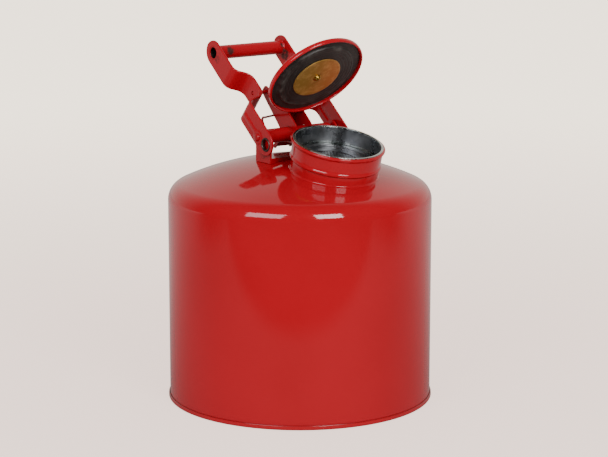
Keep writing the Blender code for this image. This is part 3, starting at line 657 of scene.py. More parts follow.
@dataclass
class CanBody(Assembly):
    """The drawn and rolled can: wall, shoulder and dome, hem, bottom and side seam."""

    wall: float = 157.0
    sheet: float = 1.0
    shoulder_z: float = 241.0
    shoulder_r: float = 22.0
    dome_r: float = 347.0
    hem_r: float = 158.75
    hem_h: float = 5.5
    pan_rise: float = 9.0
    neck_hole: float = 51.9

    def dome_z(self) -> float:
        """Height of the middle of the dome's sphere."""
        return self.shoulder_z - math.sqrt(
            (self.dome_r - self.shoulder_r) ** 2 - (self.wall - self.shoulder_r) ** 2
        )

    def outer_line(self) -> Line:
        """The outside of the shell from the pole to the foot of the wall."""
        middle = self.dome_z()
        tip = math.atan2(self.shoulder_z - middle, self.wall - self.shoulder_r)
        line = [(0.0, middle + self.dome_r)]
        steps = 40
        for i in range(1, steps + 1):
            a = math.pi / 2 + (tip - math.pi / 2) * i / steps
            line.append((self.dome_r * math.cos(a), middle + self.dome_r * math.sin(a)))
        steps = 20
        for i in range(1, steps + 1):
            a = tip * (1 - i / steps)
            ring = self.wall - self.shoulder_r
            across_by, up_by = self.shoulder_r * math.cos(a), self.shoulder_r * math.sin(a)
            line.append((ring + across_by, self.shoulder_z + up_by))
        steps = 12
        foot = self.hem_h * 0.5
        for i in range(1, steps + 1):
            line.append((self.wall, self.shoulder_z + (foot - self.shoulder_z) * i / steps))
        return line

    def shell_normal(self, spot: Vector) -> Vector:
        """The true normal of the shell at a point of its sheet."""
        radius = math.hypot(spot.x, spot.y)
        ring = (self.wall - self.shoulder_r) * MM
        middle = self.dome_z() * MM
        out = Vector((spot.x, spot.y, 0.0)).normalized() if radius > 1e-6 else Vector((0.0, 0.0, 1.0))
        half = 0.5 * self.sheet * MM
        if spot.z <= self.shoulder_z * MM:
            return out if radius > self.wall * MM - half else -out
        if radius <= ring or (spot.z - middle) * ring > (self.shoulder_z * MM - middle) * radius:
            away = spot - Vector((0.0, 0.0, middle))
            outside = away.length > self.dome_r * MM - half
        else:
            away = spot - Vector((0.0, 0.0, self.shoulder_z * MM)) - out * ring
            outside = away.length > self.shoulder_r * MM - half
        return away.normalized() if outside else -away.normalized()

    def shell(self, finish: bpy.types.Material) -> None:
        """The wall, shoulder and dome, open under the neck."""
        outer = self.outer_line()
        middle = self.dome_z()
        inner: Line = []
        for r, z in reversed(outer):
            n = self.shell_normal(Vector((r * MM, 0.0, z * MM)))
            inner.append((max(r - n.x * self.sheet, 0.0), z - n.z * self.sheet))
        inner[-1] = (0.0, middle + self.dome_r - self.sheet)
        made = to_mesh("enamelled_shell", turned(outer + inner, True, BIG_ROUND))
        hole = rod(self.neck_hole, Vector((0, 0, -80)), Vector((0, 0, 10)), 128)
        bmesh.ops.transform(hole, matrix=NECK.matrix(), verts=hole.verts)
        cut(made, [hole])
        made.data.shade_smooth()
        normals = [self.shell_normal(v.co) for v in made.data.vertices]
        made.data.normals_split_custom_set_from_vertices(normals)
        self.fit(made, finish, Slot.BODY_ENAMEL, ["body_shell"], weighted=False)

    def hem(self, finish: bpy.types.Material) -> None:
        """The rolled bottom hem."""
        inner = self.wall - 2 * self.sheet - 2.3
        line = rounded_line(
            [
                Corner(self.wall + 0.25, self.hem_h, 0.2),
                Corner(self.hem_r - 0.3, self.hem_h, 0.6),
                Corner(self.hem_r, self.hem_h - 1.6, 1.2),
                Corner(self.hem_r, 1.2, 1.2),
                Corner(self.hem_r - 1.4, 0.0, 0.9),
                Corner(inner + 1.0, 0.0, 0.9),
                Corner(inner, 1.2, 0.9),
                Corner(inner, self.hem_h, 0.6),
                Corner(inner + 1.4, self.hem_h, 0.6),
                Corner(inner + 1.4, 1.5, 0.3),
                Corner(self.wall + 0.25, 1.5, 0.3),
            ],
            True,
            4,
        )
        made = to_mesh("rolled_hem", turned(line, True, BIG_ROUND))
        self.fit(made, finish, Slot.BODY_ENAMEL, ["bottom_chime"])

    def pan(self, finish: bpy.types.Material) -> None:
        """The recessed bottom with two shallow stiffening rings."""
        edge = self.wall - self.sheet - 0.3
        rise, sheet = self.pan_rise, self.sheet
        top = [
            Corner(0.0, rise),
            Corner(60.0, rise, 3.0),
            Corner(64.0, rise - 1.2, 3.0),
            Corner(70.0, rise - 1.2, 3.0),
            Corner(74.0, rise, 3.0),
            Corner(122.0, rise, 3.0),
            Corner(126.0, rise - 1.2, 3.0),
            Corner(132.0, rise - 1.2, 3.0),
            Corner(136.0, rise, 3.0),
            Corner(edge, rise, 2.2),
            Corner(edge, 2.0),
        ]
        low = []
        for c in top:
            inward = sheet if c.r > 140.0 else 0.0
            down = sheet if c.z > 2.5 else 0.0
            low.append(Corner(max(c.r - inward, 0.0), c.z - down, c.fillet))
        line = rounded_line(top, False, 5) + rounded_line(list(reversed(low)), False, 5)
        made = to_mesh("recessed_bottom", turned(line, True, ROUND))
        self.fit(made, finish, Slot.BODY_ENAMEL, ["base_pan"])

    def seam(self, finish: bpy.types.Material) -> None:
        """The lap seam down the back of the wall, a low strip with soft edges."""
        half = math.radians(1.65)
        low, high = self.hem_h + 0.3, self.shoulder_z - 4.0
        shape = bmesh.new()
        bmesh.ops.create_grid(shape, x_segments=24, y_segments=40, size=1.0)
        for vert in shape.verts:
            u, v = vert.co.x, vert.co.y
            a = math.pi / 2 + half * u
            side = 1 - max(0.0, (abs(u) - 0.72) / 0.28) ** 2
            end = 1 - max(0.0, (abs(v) - 0.985) / 0.015) ** 2
            lift = 0.7 * side * end
            radius = (self.wall + 0.1 + lift) * MM
            vert.co = (radius * math.cos(a), radius * math.sin(a), (low + (high - low) * (v + 1) / 2) * MM)
        bmesh.ops.solidify(shape, geom=shape.faces[:], thickness=0.3 * MM)
        bmesh.ops.recalc_face_normals(shape, faces=shape.faces)
        self.fit(to_mesh("side_lap_seam", shape), finish, Slot.BODY_ENAMEL, ["side_seam"], 50.0)

    def build(self, enamel: bpy.types.Material, hem_enamel: bpy.types.Material) -> None:
        """Builds every piece of the can's body."""
        self.shell(enamel)
        self.hem(hem_enamel)
        self.pan(hem_enamel)
        self.seam(enamel)


@dataclass
class Neck(Assembly):
    """The filling neck: collar with its rolled bead, foot brazed to the dome, bare lining and screen."""

    mouth: float = 50.3
    collar: float = 52.6
    bead: float = 55.4
    bead_h: float = 5.0
    depth: float = 25.0
    foot: float = 51.6
    screen_z: float = -21.0
    screen_r: float = 44.0
    screen_deep: float = 3.0
    screen_sheet: float = 0.8
    can: CanBody = field(default_factory=lambda: CanBody(Body.CAN))

    def collar_piece(self, finish: bpy.types.Material) -> None:
        """The collar, with its rolled bead above and a rolled edge below."""
        inner = self.mouth + 1.2
        r, d = self.collar, self.depth
        line = rounded_line(
            [
                Corner(inner + 0.2, -1.4, 0.2),
                Corner(self.bead - 1.6, -0.7, 1.0),
                Corner(self.bead, -1.6, 1.2),
                Corner(self.bead, -self.bead_h + 1.2, 1.4),
                Corner(self.bead - 1.6, -self.bead_h - 0.3, 1.2),
                Corner(r + 0.5, -self.bead_h - 0.9, 0.8),
                Corner(r + 0.1, -d + 7.5, 2.0),
                Corner(r + 0.1, -d + 5.2, 1.0),
                Corner(r + 1.15, -d + 3.2, 1.8),
                Corner(r + 1.15, -d + 1.4, 1.2),
                Corner(r - 0.1, -d, 0.8),
                Corner(inner, -d, 0.2),
            ],
            True,
            6,
        )
        made = to_mesh("neck_sleeve", turned(line), NECK.matrix())
        self.fit(made, finish, Slot.BODY_ENAMEL, ["neck_collar"])

    def drop(self, radius: float, angle: float, clearance: float) -> float:
        """The height in the neck's frame at which a ruling of the neck meets the dome, in metres."""
        home = NECK.matrix()
        start = home @ Vector((radius * math.cos(angle), radius * math.sin(angle), 0.0))
        way = home.to_3x3() @ Vector((0.0, 0.0, -1.0))
        middle = Vector((0.0, 0.0, self.can.dome_z() * MM))
        reach = (self.can.dome_r + clearance) * MM
        gap = start - middle
        b = gap.dot(way)
        c = gap.length_squared - reach**2
        return -(-b - math.sqrt(b * b - c))

    def foot_piece(self, finish: bpy.types.Material) -> None:
        """The foot, whose lower edge follows the dome and flares into its brazed fillet."""
        d, r = self.depth, self.foot
        shape = turned(
            [
                (r - 0.9, -d - 0.3),
                (r, -d - 0.3),
                (r, -d - 0.9),
                (r, -d - 2.0),
                (r, -d - 3.0),
                (r, -d - 4.0),
                (r + 0.08, -d - 5.0),
                (r + 0.3, -d - 6.0),
                (r + 0.8, -d - 7.0),
                (r + 1.5, -d - 8.0),
                (r - 0.9, -d - 9.0),
            ]
        )
        lifts = {-4.0: 2.4, -5.0: 1.4, -6.0: 0.7, -7.0: 0.25, -8.0: 0.03, -9.0: 0.0}
        for vert in shape.verts:
            radius = math.hypot(vert.co.x, vert.co.y)
            key = round(vert.co.z / MM + d, 1)
            if key in lifts:
                vert.co.z = self.drop(radius, math.atan2(vert.co.y, vert.co.x), 0.05) + lifts[key] * MM
        made = to_mesh("neck_foot_fillet", shape, NECK.matrix())
        self.fit(made, finish, Slot.BODY_ENAMEL, ["neck_foot"], 50.0)

    def lining(self, finish: bpy.types.Material, rim: bpy.types.Material) -> None:
        """The bare lining and the bright rolled rim on which the gasket seats."""
        m = self.mouth
        wall = rounded_line(
            [
                Corner(m + 0.9, -2.0),
                Corner(m + 0.9, -self.depth + 0.2),
                Corner(m, -self.depth + 0.2),
                Corner(m, -2.0),
            ],
            True,
            2,
        )
        made = to_mesh("bare_lining", turned(wall), NECK.matrix())
        self.fit(made, finish, Slot.ZINC, ["neck_liner"])
        lip = rounded_line(
            [
                Corner(m, -2.1),
                Corner(m, -0.3, 0.5),
                Corner(m + 1.0, 0.05, 0.6),
                Corner(m + 2.6, -0.15, 0.5),
                Corner(m + 3.0, -0.75, 0.3),
                Corner(m + 1.0, -0.9, 0.3),
                Corner(m + 0.9, -2.1),
            ],
            True,
            4,
        )
        self.fit(to_mesh("bright_rim", turned(lip), NECK.matrix()), rim, Slot.ZINC, [])

    def ring(self, finish: bpy.types.Material) -> None:
        """The ledge ring that carries the screen, a bright pressed band."""
        outer, inner, top = self.mouth - 0.3, self.screen_r - 2.0, self.screen_z
        line = rounded_line(
            [
                Corner(outer, top + 2.6, 0.3),
                Corner(outer, top - 2.0, 0.6),
                Corner(inner, top - 2.0, 0.4),
                Corner(inner, top - 0.9, 0.4),
                Corner(outer - 1.4, top - 0.9, 0.6),
                Corner(outer - 1.4, top + 2.6, 0.3),
            ],
            True,
            3,
        )
        self.fit(to_mesh("screen_ledge", turned(line), NECK.matrix()), finish, Slot.ZINC, ["arrester_ring"])

    def screen(self, finish: bpy.types.Material) -> None:
        """The flame arrester: a turned-out lip, a shallow wall and a floor pierced in rows."""
        lip, wall = self.screen_z, self.screen_r - 2.3
        under, over = lip - self.screen_deep, lip - self.screen_deep + self.screen_sheet
        line = rounded_line(
            [
                Corner(self.screen_r + 3.0, lip + 0.3, 0.3),
                Corner(self.screen_r + 3.0, lip - 0.5, 0.3),
                Corner(wall + 0.2, lip - 0.5, 0.5),
                Corner(wall, under, 0.8),
                Corner(30.0, under),
            ],
            False,
            4,
        )
        top = rounded_line(
            [
                Corner(30.0, over),
                Corner(wall - 0.8, over, 0.6),
                Corner(wall - 0.8, lip + 0.3, 0.5),
                Corner(self.screen_r + 3.0, lip + 0.3, 0.3),
            ],
            False,
            4,
        )
        shape = turned(line + top[:-1])
        self.fit(to_mesh("screen_cup", shape, NECK.matrix()), finish, Slot.ZINC, ["flame_arrester"])
        pitch, hole = 4.2, 1.25
        sheet = bmesh.new()
        count = int(30.0 / pitch)
        for row in range(-count, count + 1):
            for column in range(-count - 1, count + 2):
                x = (column + 0.5 * (row % 2)) * pitch
                y = row * pitch * math.sqrt(3) / 2
                if math.hypot(x, y) > 28.0:
                    continue
                self.cell(sheet, x, y, pitch, hole)
        bmesh.ops.remove_doubles(sheet, verts=sheet.verts, dist=0.02 * MM)
        bmesh.ops.solidify(sheet, geom=sheet.faces[:], thickness=-0.7 * MM)
        shift(sheet, 0.0, 0.0, over - 0.1)
        bmesh.ops.recalc_face_normals(sheet, faces=sheet.faces)
        self.fit(to_mesh("screen_floor", sheet, NECK.matrix()), finish, Slot.ZINC, [])

    def cell(self, sheet: bmesh.types.BMesh, x: float, y: float, pitch: float, hole: float) -> None:
        """One hexagon of perforated sheet with its round hole, in the neck's plane."""
        rims = []
        for radius in (pitch / math.sqrt(3), hole):
            circle = bmesh.ops.create_circle(sheet, cap_ends=False, segments=12, radius=radius * MM)["verts"]
            for vert in circle:
                a = math.atan2(vert.co.y, vert.co.x)
                if radius > hole:
                    flat = math.cos(math.pi / 6) / math.cos((a + math.pi / 6) % (math.pi / 3) - math.pi / 6)
                    vert.co *= flat
                    vert.co = Matrix.Rotation(math.pi / 6, 3, "Z") @ vert.co
                else:
                    vert.co = Matrix.Rotation(math.pi / 6, 3, "Z") @ vert.co
            bmesh.ops.translate(sheet, vec=(x * MM, y * MM, 0.0), verts=circle)
            rims += [e for v in circle for e in v.link_edges]
        bmesh.ops.bridge_loops(sheet, edges=list(set(rims)))

    def build(self, enamel: bpy.types.Material, zinc: bpy.types.Material, bright: bpy.types.Material) -> None:
        """Builds every piece of the neck."""
        self.collar_piece(enamel)
        self.foot_piece(enamel)
        self.lining(zinc, bright)
        self.ring(bright)
        self.screen(zinc)


@dataclass
class HingeBase(Assembly):
    """The bracket on the dome and the pin through everything that turns."""

    ear_outside: float = 52.2
    strap_face: float = 57.0
    pin_r: float = 3.5
    head_r: float = 4.6

    def bracket(self, finish: bpy.types.Material) -> None:
        """The bent bracket, from the CAD solid, with its bends and edges rounded."""
        outside = self.ear_outside * MM

        def bend(edge: bmesh.types.BMEdge) -> bool:
            """Whether an edge is the outside of a bend between ear and base."""
            normals = [f.normal for f in edge.link_faces]
            level = all(abs(v.co.x) > outside - 0.1 * MM for v in edge.verts)
            return level and any(n.z < -0.8 for n in normals)

        shape = refined_copy("hinge_bracket", 0.5, bend, 1.6)
        self.fit(to_mesh("hinge_base_bracket", shape), finish, Slot.BODY_ENAMEL, ["hinge_bracket"])

    def pin(self, steel: bpy.types.Material, enamel: bpy.types.Material) -> None:
        """The long pin, its riveted heads and the washers beside the ears."""
        half = self.strap_face + 1.0
        shape = tube_shape(self.pin_r, 0.4, half, 0.3)
        self.fit(to_mesh("long_hinge_pin", shape, Matrix.Translation(PIN)), steel, Slot.ZINC, ["hinge_pin"])
        for side, name in ((-1, "left"), (1, "right")):
            r = self.head_r
            line = rounded_line(
                [
                    Corner(0.0, 2.5),
                    Corner(r * 0.55, 2.4, 1.2),
                    Corner(r * 0.92, 1.5, 1.0),
                    Corner(r, 0.35, 0.4),
                    Corner(r, 0.0),
                    Corner(0.0, 0.0),
                ],
                False,
                5,
            )
            head = turned(line, True, 48)
            turn = Matrix.Rotation(side * math.pi / 2, 4, "Y")
            place = Matrix.Translation(PIN + Vector((side * (self.strap_face + 0.9) * MM, 0, 0))) @ turn
            made = to_mesh(f"riveted_pin_end_{name}", head, place)
            self.fit(made, enamel, Slot.PART_ENAMEL, [f"pin_head_{name}"])
            start, end = self.ear_outside + 0.2, self.strap_face - 2.6 - 0.2
            ring = tube_shape(7.0, self.pin_r + 0.2, (end - start) / 2, 0.3)
            shift(ring, side * (start + end) / 2, 0, 0)
            made = to_mesh(f"ear_washer_{name}", ring, Matrix.Translation(PIN))
            self.fit(made, steel, Slot.ZINC, [f"ear_spacer_{name}"])

    def build(self, enamel: bpy.types.Material, part: bpy.types.Material, steel: bpy.types.Material) -> None:
        """Builds the bracket and the pin."""
        self.bracket(enamel)
        self.pin(steel, part)


@dataclass
class Lid(Assembly):
    """The swing lid: cap, gasket, brass washer, lever, barrel and return spring."""

    cap_r: float = 60.8
    rim_w: float = 3.0
    seat: float = 21.95
    rim_low: float = 16.15
    under: float = 23.45
    washer_r: float = 30.5
    washer_top: float = 16.55
    pad_r: float = 49.1
    nut_r: float = 4.6
    barrel_r: float = 8.5
    barrel_half: float = 45.5
    wire_r: float = 1.35

    def cap(self, finish: bpy.types.Material) -> None:
        """The pressed cap with its curled rim and a stepped top."""
        r, seat, low = self.cap_r, self.seat, self.rim_low
        top = seat + 1.2
        line = rounded_line(
            [
                Corner(3.2, top),
                Corner(22.0, top),
                Corner(r - 11.0, top, 2.0),
                Corner(r - 8.5, top, 2.0),
                Corner(r - 2.6, top - 0.25, 2.0),
                Corner(r, top - 1.6, 2.4),
                Corner(r, low + 1.3, 1.4),
                Corner(r - 0.8, low, 1.0),
                Corner(r - self.rim_w + 0.6, low, 1.0),
                Corner(r - self.rim_w, low + 1.5, 1.0),
                Corner(r - self.rim_w, seat, 0.6),
                Corner(3.2, seat),
            ],
            True,
            6,
        )
        self.fit(to_mesh("pressed_cap", turned(line), lid_middle()), finish, Slot.PART_ENAMEL, ["lid_cap"])

    def gasket(self, finish: bpy.types.Material) -> None:
        """The rubber disc with its raised pad and moulded rings."""
        outer = self.cap_r - self.rim_w - 0.5
        face = self.seat - 0.3 - 2.2
        pad = face - 2.6
        corners = [
            Corner(3.2, self.seat - 0.3),
            Corner(outer, self.seat - 0.3, 0.2),
            Corner(outer, face, 0.6),
            Corner(self.pad_r + 0.9, face, 0.4),
            Corner(self.pad_r, face - 0.6, 0.4),
            Corner(self.pad_r - 1.0, pad, 0.9),
        ]
        for radius in (45.0, 41.0, 37.0, 33.5):
            for out, deep in ((0.7, 0.0), (0.0, 0.22), (-0.7, 0.0)):
                corners.append(Corner(radius + out, pad + deep, 0.3))
        corners.append(Corner(3.2, pad))
        line = rounded_line(corners, True, 3)
        self.fit(to_mesh("rubber_gasket", turned(line), lid_middle()), finish, Slot.RUBBER, ["lid_gasket"])

    def brass(self, sheet: bpy.types.Material, bright: bpy.types.Material) -> None:
        """The dished washer, the acorn nut and the upset end of the stud."""
        top, edge = self.washer_top, self.washer_r
        line = rounded_line(
            [
                Corner(3.2, top),
                Corner(edge, top, 0.2),
                Corner(edge, top - 0.55, 0.4),
                Corner(edge - 1.2, top - 1.0, 0.8),
                Corner(edge - 3.4, top - 0.85, 0.8),
                Corner(7.5, top - 0.8, 1.0),
                Corner(6.3, top - 0.55, 0.6),
                Corner(3.2, top - 0.55),
            ],
            True,
            5,
        )
        self.fit(to_mesh("brass_washer", turned(line), lid_middle()), sheet, Slot.BRASS, ["gasket_retainer"])
        base = top - 0.6
        nut = rounded_line(
            [
                Corner(0.0, base),
                Corner(self.nut_r, base, 0.3),
                Corner(self.nut_r, base - 1.2, 0.5),
                Corner(self.nut_r * 0.84, base - 1.7, 0.4),
                Corner(self.nut_r * 0.72, base - 3.2, 1.2),
                Corner(0.0, base - 4.1),
            ],
            False,
            5,
        )
        self.fit(to_mesh("acorn_nut", turned(nut, True, 64), lid_middle()), bright, Slot.BRASS, ["lid_nut"])
        high = self.under + 5.2
        stud = rounded_line(
            [
                Corner(0.0, high + 2.4),
                Corner(3.6, high + 2.2, 1.0),
                Corner(3.9, high + 1.2, 0.5),
                Corner(0.0, high + 1.1),
            ],
            False,
            4,
        )
        made = to_mesh("stud_upset_end", turned(stud, True, 48), lid_middle())
        self.fit(made, bright, Slot.BRASS, ["lid_stud"])

    def washer(self, finish: bpy.types.Material) -> None:
        """The steel washer under the stud's end."""
        low = self.under + 5.2 + 0.15
        line = rounded_line(
            [
                Corner(6.5, low + 1.1, 0.4),
                Corner(6.5, low, 0.2),
                Corner(3.1, low),
                Corner(3.1, low + 1.1, 0.3),
            ],
            True,
            3,
        )
        made = to_mesh("stud_steel_washer", turned(line, True, 64), lid_middle())
        self.fit(made, finish, Slot.ZINC, ["stud_washer"])

    def lever(self, finish: bpy.types.Material) -> None:
        """The stamped channel, from the CAD solid, with bent corners and rounded edges."""
        back = LID.matrix().to_3x3().inverted()

        def bend(edge: bmesh.types.BMEdge) -> bool:
            """Whether an edge is the outside of a bend between a flange and the web."""
            if not all(abs(v.co.x) > 11.9 * MM for v in edge.verts):
                return False
            turns = [back @ f.normal for f in edge.link_faces]
            return any(abs(n.x) > 0.9 for n in turns) and any(n.z > 0.6 or n.y > 0.75 for n in turns)

        shape = refined_copy("lid_lever", 0.4, bend, 1.7)
        self.fit(to_mesh("stamped_lever", shape), finish, Slot.PART_ENAMEL, ["lid_lever"], 36.0)

    def barrel(self, finish: bpy.types.Material) -> None:
        """The tube on the pin, with curled ends."""
        shape = tube_shape(self.barrel_r, self.barrel_r - 1.2, self.barrel_half, 0.4)
        self.fit(to_mesh("hinge_barrel", shape, LID.matrix()), finish, Slot.PART_ENAMEL, ["lever_barrel"])

    def spring(self, finish: bpy.types.Material) -> None:
        """The return spring: turns inside the barrel and the leg that rises behind the lever."""
        mean = (3.5 + self.barrel_r - 1.2) / 2
        start = -self.barrel_half - self.wire_r - 0.3
        hook_y = self.hook_y(37.5)
        leg = [
            Vector((-8.0, hook_y, 37.5)),
            Vector((-15.0, hook_y - 0.2, 36.5)),
            Vector((-36.0, -4.5, 25.0)),
            Vector((-42.0, -9.0, 21.5)),
            Vector((start + 0.6, -10.5, 16.0)),
            Vector((start, -8.0, 8.0)),
        ]
        steps = 24
        turns = [
            Vector(
                (
                    start + 3.4 * i / steps,
                    mean * math.cos(math.radians(120) + math.tau * i / steps),
                    mean * math.sin(math.radians(120) + math.tau * i / steps),
                )
            )
            for i in range(5 * steps + 1)
        ]
        path = smooth_path(leg + [turns[0]], 8)[:-1] + turns
        made = swept("return_spring", path, self.wire_r, LID.matrix())
        self.fit(made, finish, Slot.PART_ENAMEL, ["lid_spring"])

    def hook_y(self, height: float) -> float:
        """Where the spring's hook lies behind the lever's web, in the lid's frame."""
        rod_at = LID.matrix().inverted() @ HANDLE.matrix() @ Vector((0.0, STRAP_Y * MM, ROD_Z * MM)) / MM
        edge = 8.0 + (rod_at.y + 7.0 - 8.0) * (height - 22.0) / (rod_at.z - 22.0)
        return edge + self.wire_r + 0.6

    def build(self, paints: dict[str, bpy.types.Material]) -> None:
        """Builds every piece of the lid."""
        self.cap(paints["cap"])
        self.gasket(paints["rubber"])
        self.brass(paints["brass"], paints["bright_brass"])
        self.washer(paints["zinc"])
        self.lever(paints["lever"])
        self.barrel(paints["lever"])
        self.spring(paints["wire"])


def smooth_path(points: Sequence[Vector], steps: int) -> list[Vector]:
    """A Catmull-Rom curve through points."""
    spots = [points[0] * 2 - points[1], *points, points[-1] * 2 - points[-2]]
    line: list[Vector] = []
    for a, b, c, d in zip(spots, spots[1:], spots[2:], spots[3:]):
        for k in range(steps):
            t = k / steps
            line.append(
                0.5
                * (2 * b + (c - a) * t + (2 * a - 5 * b + 4 * c - d) * t**2 + (3 * b - a - 3 * c + d) * t**3)
            )
    line.append(points[-1])
    return line


def swept(name: str, path: Sequence[Vector], radius: float, place: Matrix) -> bpy.types.Object:
    """A round wire along a path given in millimetres, as a mesh with closed ends."""
    curve = bpy.data.curves.new(name, "CURVE")
    curve.dimensions = "3D"
    curve.bevel_depth = radius * MM
    curve.bevel_resolution = 4
    curve.use_fill_caps = True
    line = curve.splines.new("POLY")
    line.points.add(len(path) - 1)
    for point, spot in zip(line.points, path):
        point.co = (*(spot * MM), 1.0)
    rough = bpy.data.objects.new(name + "_path", curve)
    bpy.context.scene.collection.objects.link(rough)
    graph = bpy.context.evaluated_depsgraph_get()
    mesh = bpy.data.meshes.new_from_object(rough.evaluated_get(graph), depsgraph=graph)
    bpy.data.objects.remove(rough, do_unlink=True)
    shape = bmesh.new()
    shape.from_mesh(mesh)
    bmesh.ops.remove_doubles(shape, verts=shape.verts, dist=1e-6)
    bmesh.ops.recalc_face_normals(shape, faces=shape.faces)
    bpy.data.meshes.remove(mesh)
    return to_mesh(name, shape, place)


@dataclass
class Handle(Assembly):
    """The swinging handle: two joggled straps, the grip between them, the waist rod and the eyelets."""

    sheet: float = 2.6
    width: float = 30.0
    offset: float = STRAP_Y
    low_half: float = 57.0
    waist_half: float = 31.0
    top_half: float = 51.0
    low_end: float = -29.0
    jog_low: float = 42.5
    waist_low: float = 50.0
    waist_high: float = 81.0
    jog_high: float = 90.0
    grip_z: float = 135.0
    rod_z: float = ROD_Z
    rod_r: float = 2.3
    eyelet_z: float = -16.5
    grip_r: float = 8.3

    def strap_line(self) -> list[tuple[Vector, Vector]]:
        """Stations along the strap's outer face as (place, outward normal), both as (x, z)."""
        path = [
            Vector((self.low_half, self.low_end)),
            Vector((self.low_half, self.jog_low)),
            Vector((self.waist_half, self.waist_low)),
            Vector((self.waist_half, self.waist_high)),
            Vector((self.top_half, self.jog_high)),
            Vector((self.top_half, self.grip_z + self.width / 2)),
        ]
        line = [path[0]]
        for before, corner, after in zip(path, path[1:], path[2:]):
            reach = min(8.5, (before - corner).length * 0.48, (after - corner).length * 0.48)
            first = corner + (before - corner).normalized() * reach
            last = corner + (after - corner).normalized() * reach
            for t in (k / 10 for k in range(11)):
                line.append(first * (1 - t) ** 2 + corner * 2 * t * (1 - t) + last * t**2)
        line.append(path[-1])
        lengths = [0.0]
        for a, b in zip(line, line[1:]):
            lengths.append(lengths[-1] + (b - a).length)
        stations = []
        for s in self.strap_steps(lengths[-1]):
            i = max(k for k in range(len(lengths) - 1) if lengths[k] <= s + 1e-9)
            t = (s - lengths[i]) / (lengths[i + 1] - lengths[i])
            place = line[i].lerp(line[i + 1], t)
            way = (self.way(line, i).lerp(self.way(line, i + 1), t)).normalized()
            stations.append((place, Vector((way.y, -way.x))))
        return stations

    @staticmethod
    def way(line: list[Vector], i: int) -> Vector:
        """The direction of a line at one of its points."""
        return (line[min(i + 1, len(line) - 1)] - line[max(i - 1, 0)]).normalized()

    def strap_steps(self, total: float) -> list[float]:
        """Lengths along the strap at which it has a station, closer at its round ends."""
        half = self.width / 2
        round_end = [half * (1 - math.cos(math.pi / 2 * k / 14)) for k in range(15)]
        middle = [half + (total - 2 * half) * k / 130 for k in range(1, 130)]
        return round_end + middle + [total - d for d in reversed(round_end)]

    def section(self, half: float) -> Line:
        """The strap's cross-section as (across, inward) points, with rounded edges."""
        bevel = min(0.9, half * 0.6)
        flat = 30
        line = [(-half + bevel + 2 * (half - bevel) * k / flat, 0.0) for k in range(flat + 1)]
        for k in range(1, 5):
            a = math.pi / 2 * k / 5
            line.append((half - bevel + bevel * math.sin(a), bevel * (1 - math.cos(a))))
        for k in range(1, 6):
            a = math.pi / 2 * k / 5
            line.append((half - bevel + bevel * math.cos(a), self.sheet - bevel * (1 - math.sin(a))))
        line += [(half - bevel - 2 * (half - bevel) * k / flat, self.sheet) for k in range(1, flat + 1)]
        for k in range(1, 5):
            a = math.pi / 2 * k / 5
            line.append((-half + bevel - bevel * math.sin(a), self.sheet - bevel * (1 - math.cos(a))))
        for k in range(1, 5):
            a = math.pi / 2 * k / 5
            line.append((-half + bevel - bevel * math.cos(a), bevel * (1 - math.sin(a))))
        return line

    def press(self, y: float, z: float) -> float:
        """How far the sheet is pressed out at a point: the rib and the boss round the pin."""

        def step(distance: float, edge: float, soft: float) -> float:
            """One inside an edge, falling smoothly to zero."""
            t = min(max((edge + soft - distance) / (2 * soft), 0.0), 1.0)
            return t * t * (3 - 2 * t)

        boss = 0.8 * step(math.hypot(y, z), 8.2, 0.9)
        along = min(max(z, 8.0), 35.0)
        rib = 1.0 * step(math.hypot(y + 1.7, z - along), 2.7, 0.9) if z < 45 else 0.0
        return max(boss, rib)

    def strap(self, side: int, name: str, finish: bpy.types.Material) -> None:
        """One joggled strap with its holes.

        Args:
            side: -1 for the strap at low X and 1 for the other.
            name: Its side in words.
            finish: The material.
        """
        stations = self.strap_line()
        half = self.width / 2
        shape = bmesh.new()
        rings = len(self.section(half))
        bmesh.ops.create_grid(shape, x_segments=rings, y_segments=len(stations) - 1, size=1.0)
        for vert in shape.verts:
            i = round((vert.co.x + 1) / 2 * rings) % rings
            j = round((vert.co.y + 1) / 2 * (len(stations) - 1))
            place, out = stations[j]
            gap = max(0.0, half - self.end_gap(j, len(stations)))
            w = max(math.sqrt(max(half**2 - gap**2, 0.0)), 0.25)
            y, deep = self.section(w)[i]
            y += self.offset
            lift = self.press(y, place.y)
            x = place.x - out.x * deep + out.x * lift
            z = place.y - out.y * deep + out.y * lift
            vert.co = (side * x * MM, y * MM, z * MM)
        bmesh.ops.remove_doubles(shape, verts=shape.verts, dist=1e-6)
        bmesh.ops.holes_fill(shape, edges=[e for e in shape.edges if e.is_boundary], sides=0)
        bmesh.ops.recalc_face_normals(shape, faces=shape.faces)
        made = to_mesh(f"joggled_strap_{name}", shape)
        holes = (
            (8.45, self.eyelet_z, 48.0, 66.0),
            (2.7, self.rod_z, 24.0, 40.0),
            (self.grip_r + 0.12, self.grip_z, 42.0, 60.0),
        )
        for radius, z, near, far in holes:
            start, end = Vector((side * near, self.offset, z)), Vector((side * far, self.offset, z))
            cut(made, [rod(radius, start, end, 64)])
        made.data.transform(HANDLE.matrix())
        self.fit(made, finish, Slot.PART_ENAMEL, [f"handle_strap_{name}"], 40.0)

    def end_gap(self, j: int, count: int) -> float:
        """Distance from a station to the nearer end of the strap, up to half its width."""
        steps = 14
        half = self.width / 2
        near = min(j, count - 1 - j)
        return half * (1 - math.cos(math.pi / 2 * min(near, steps) / steps))

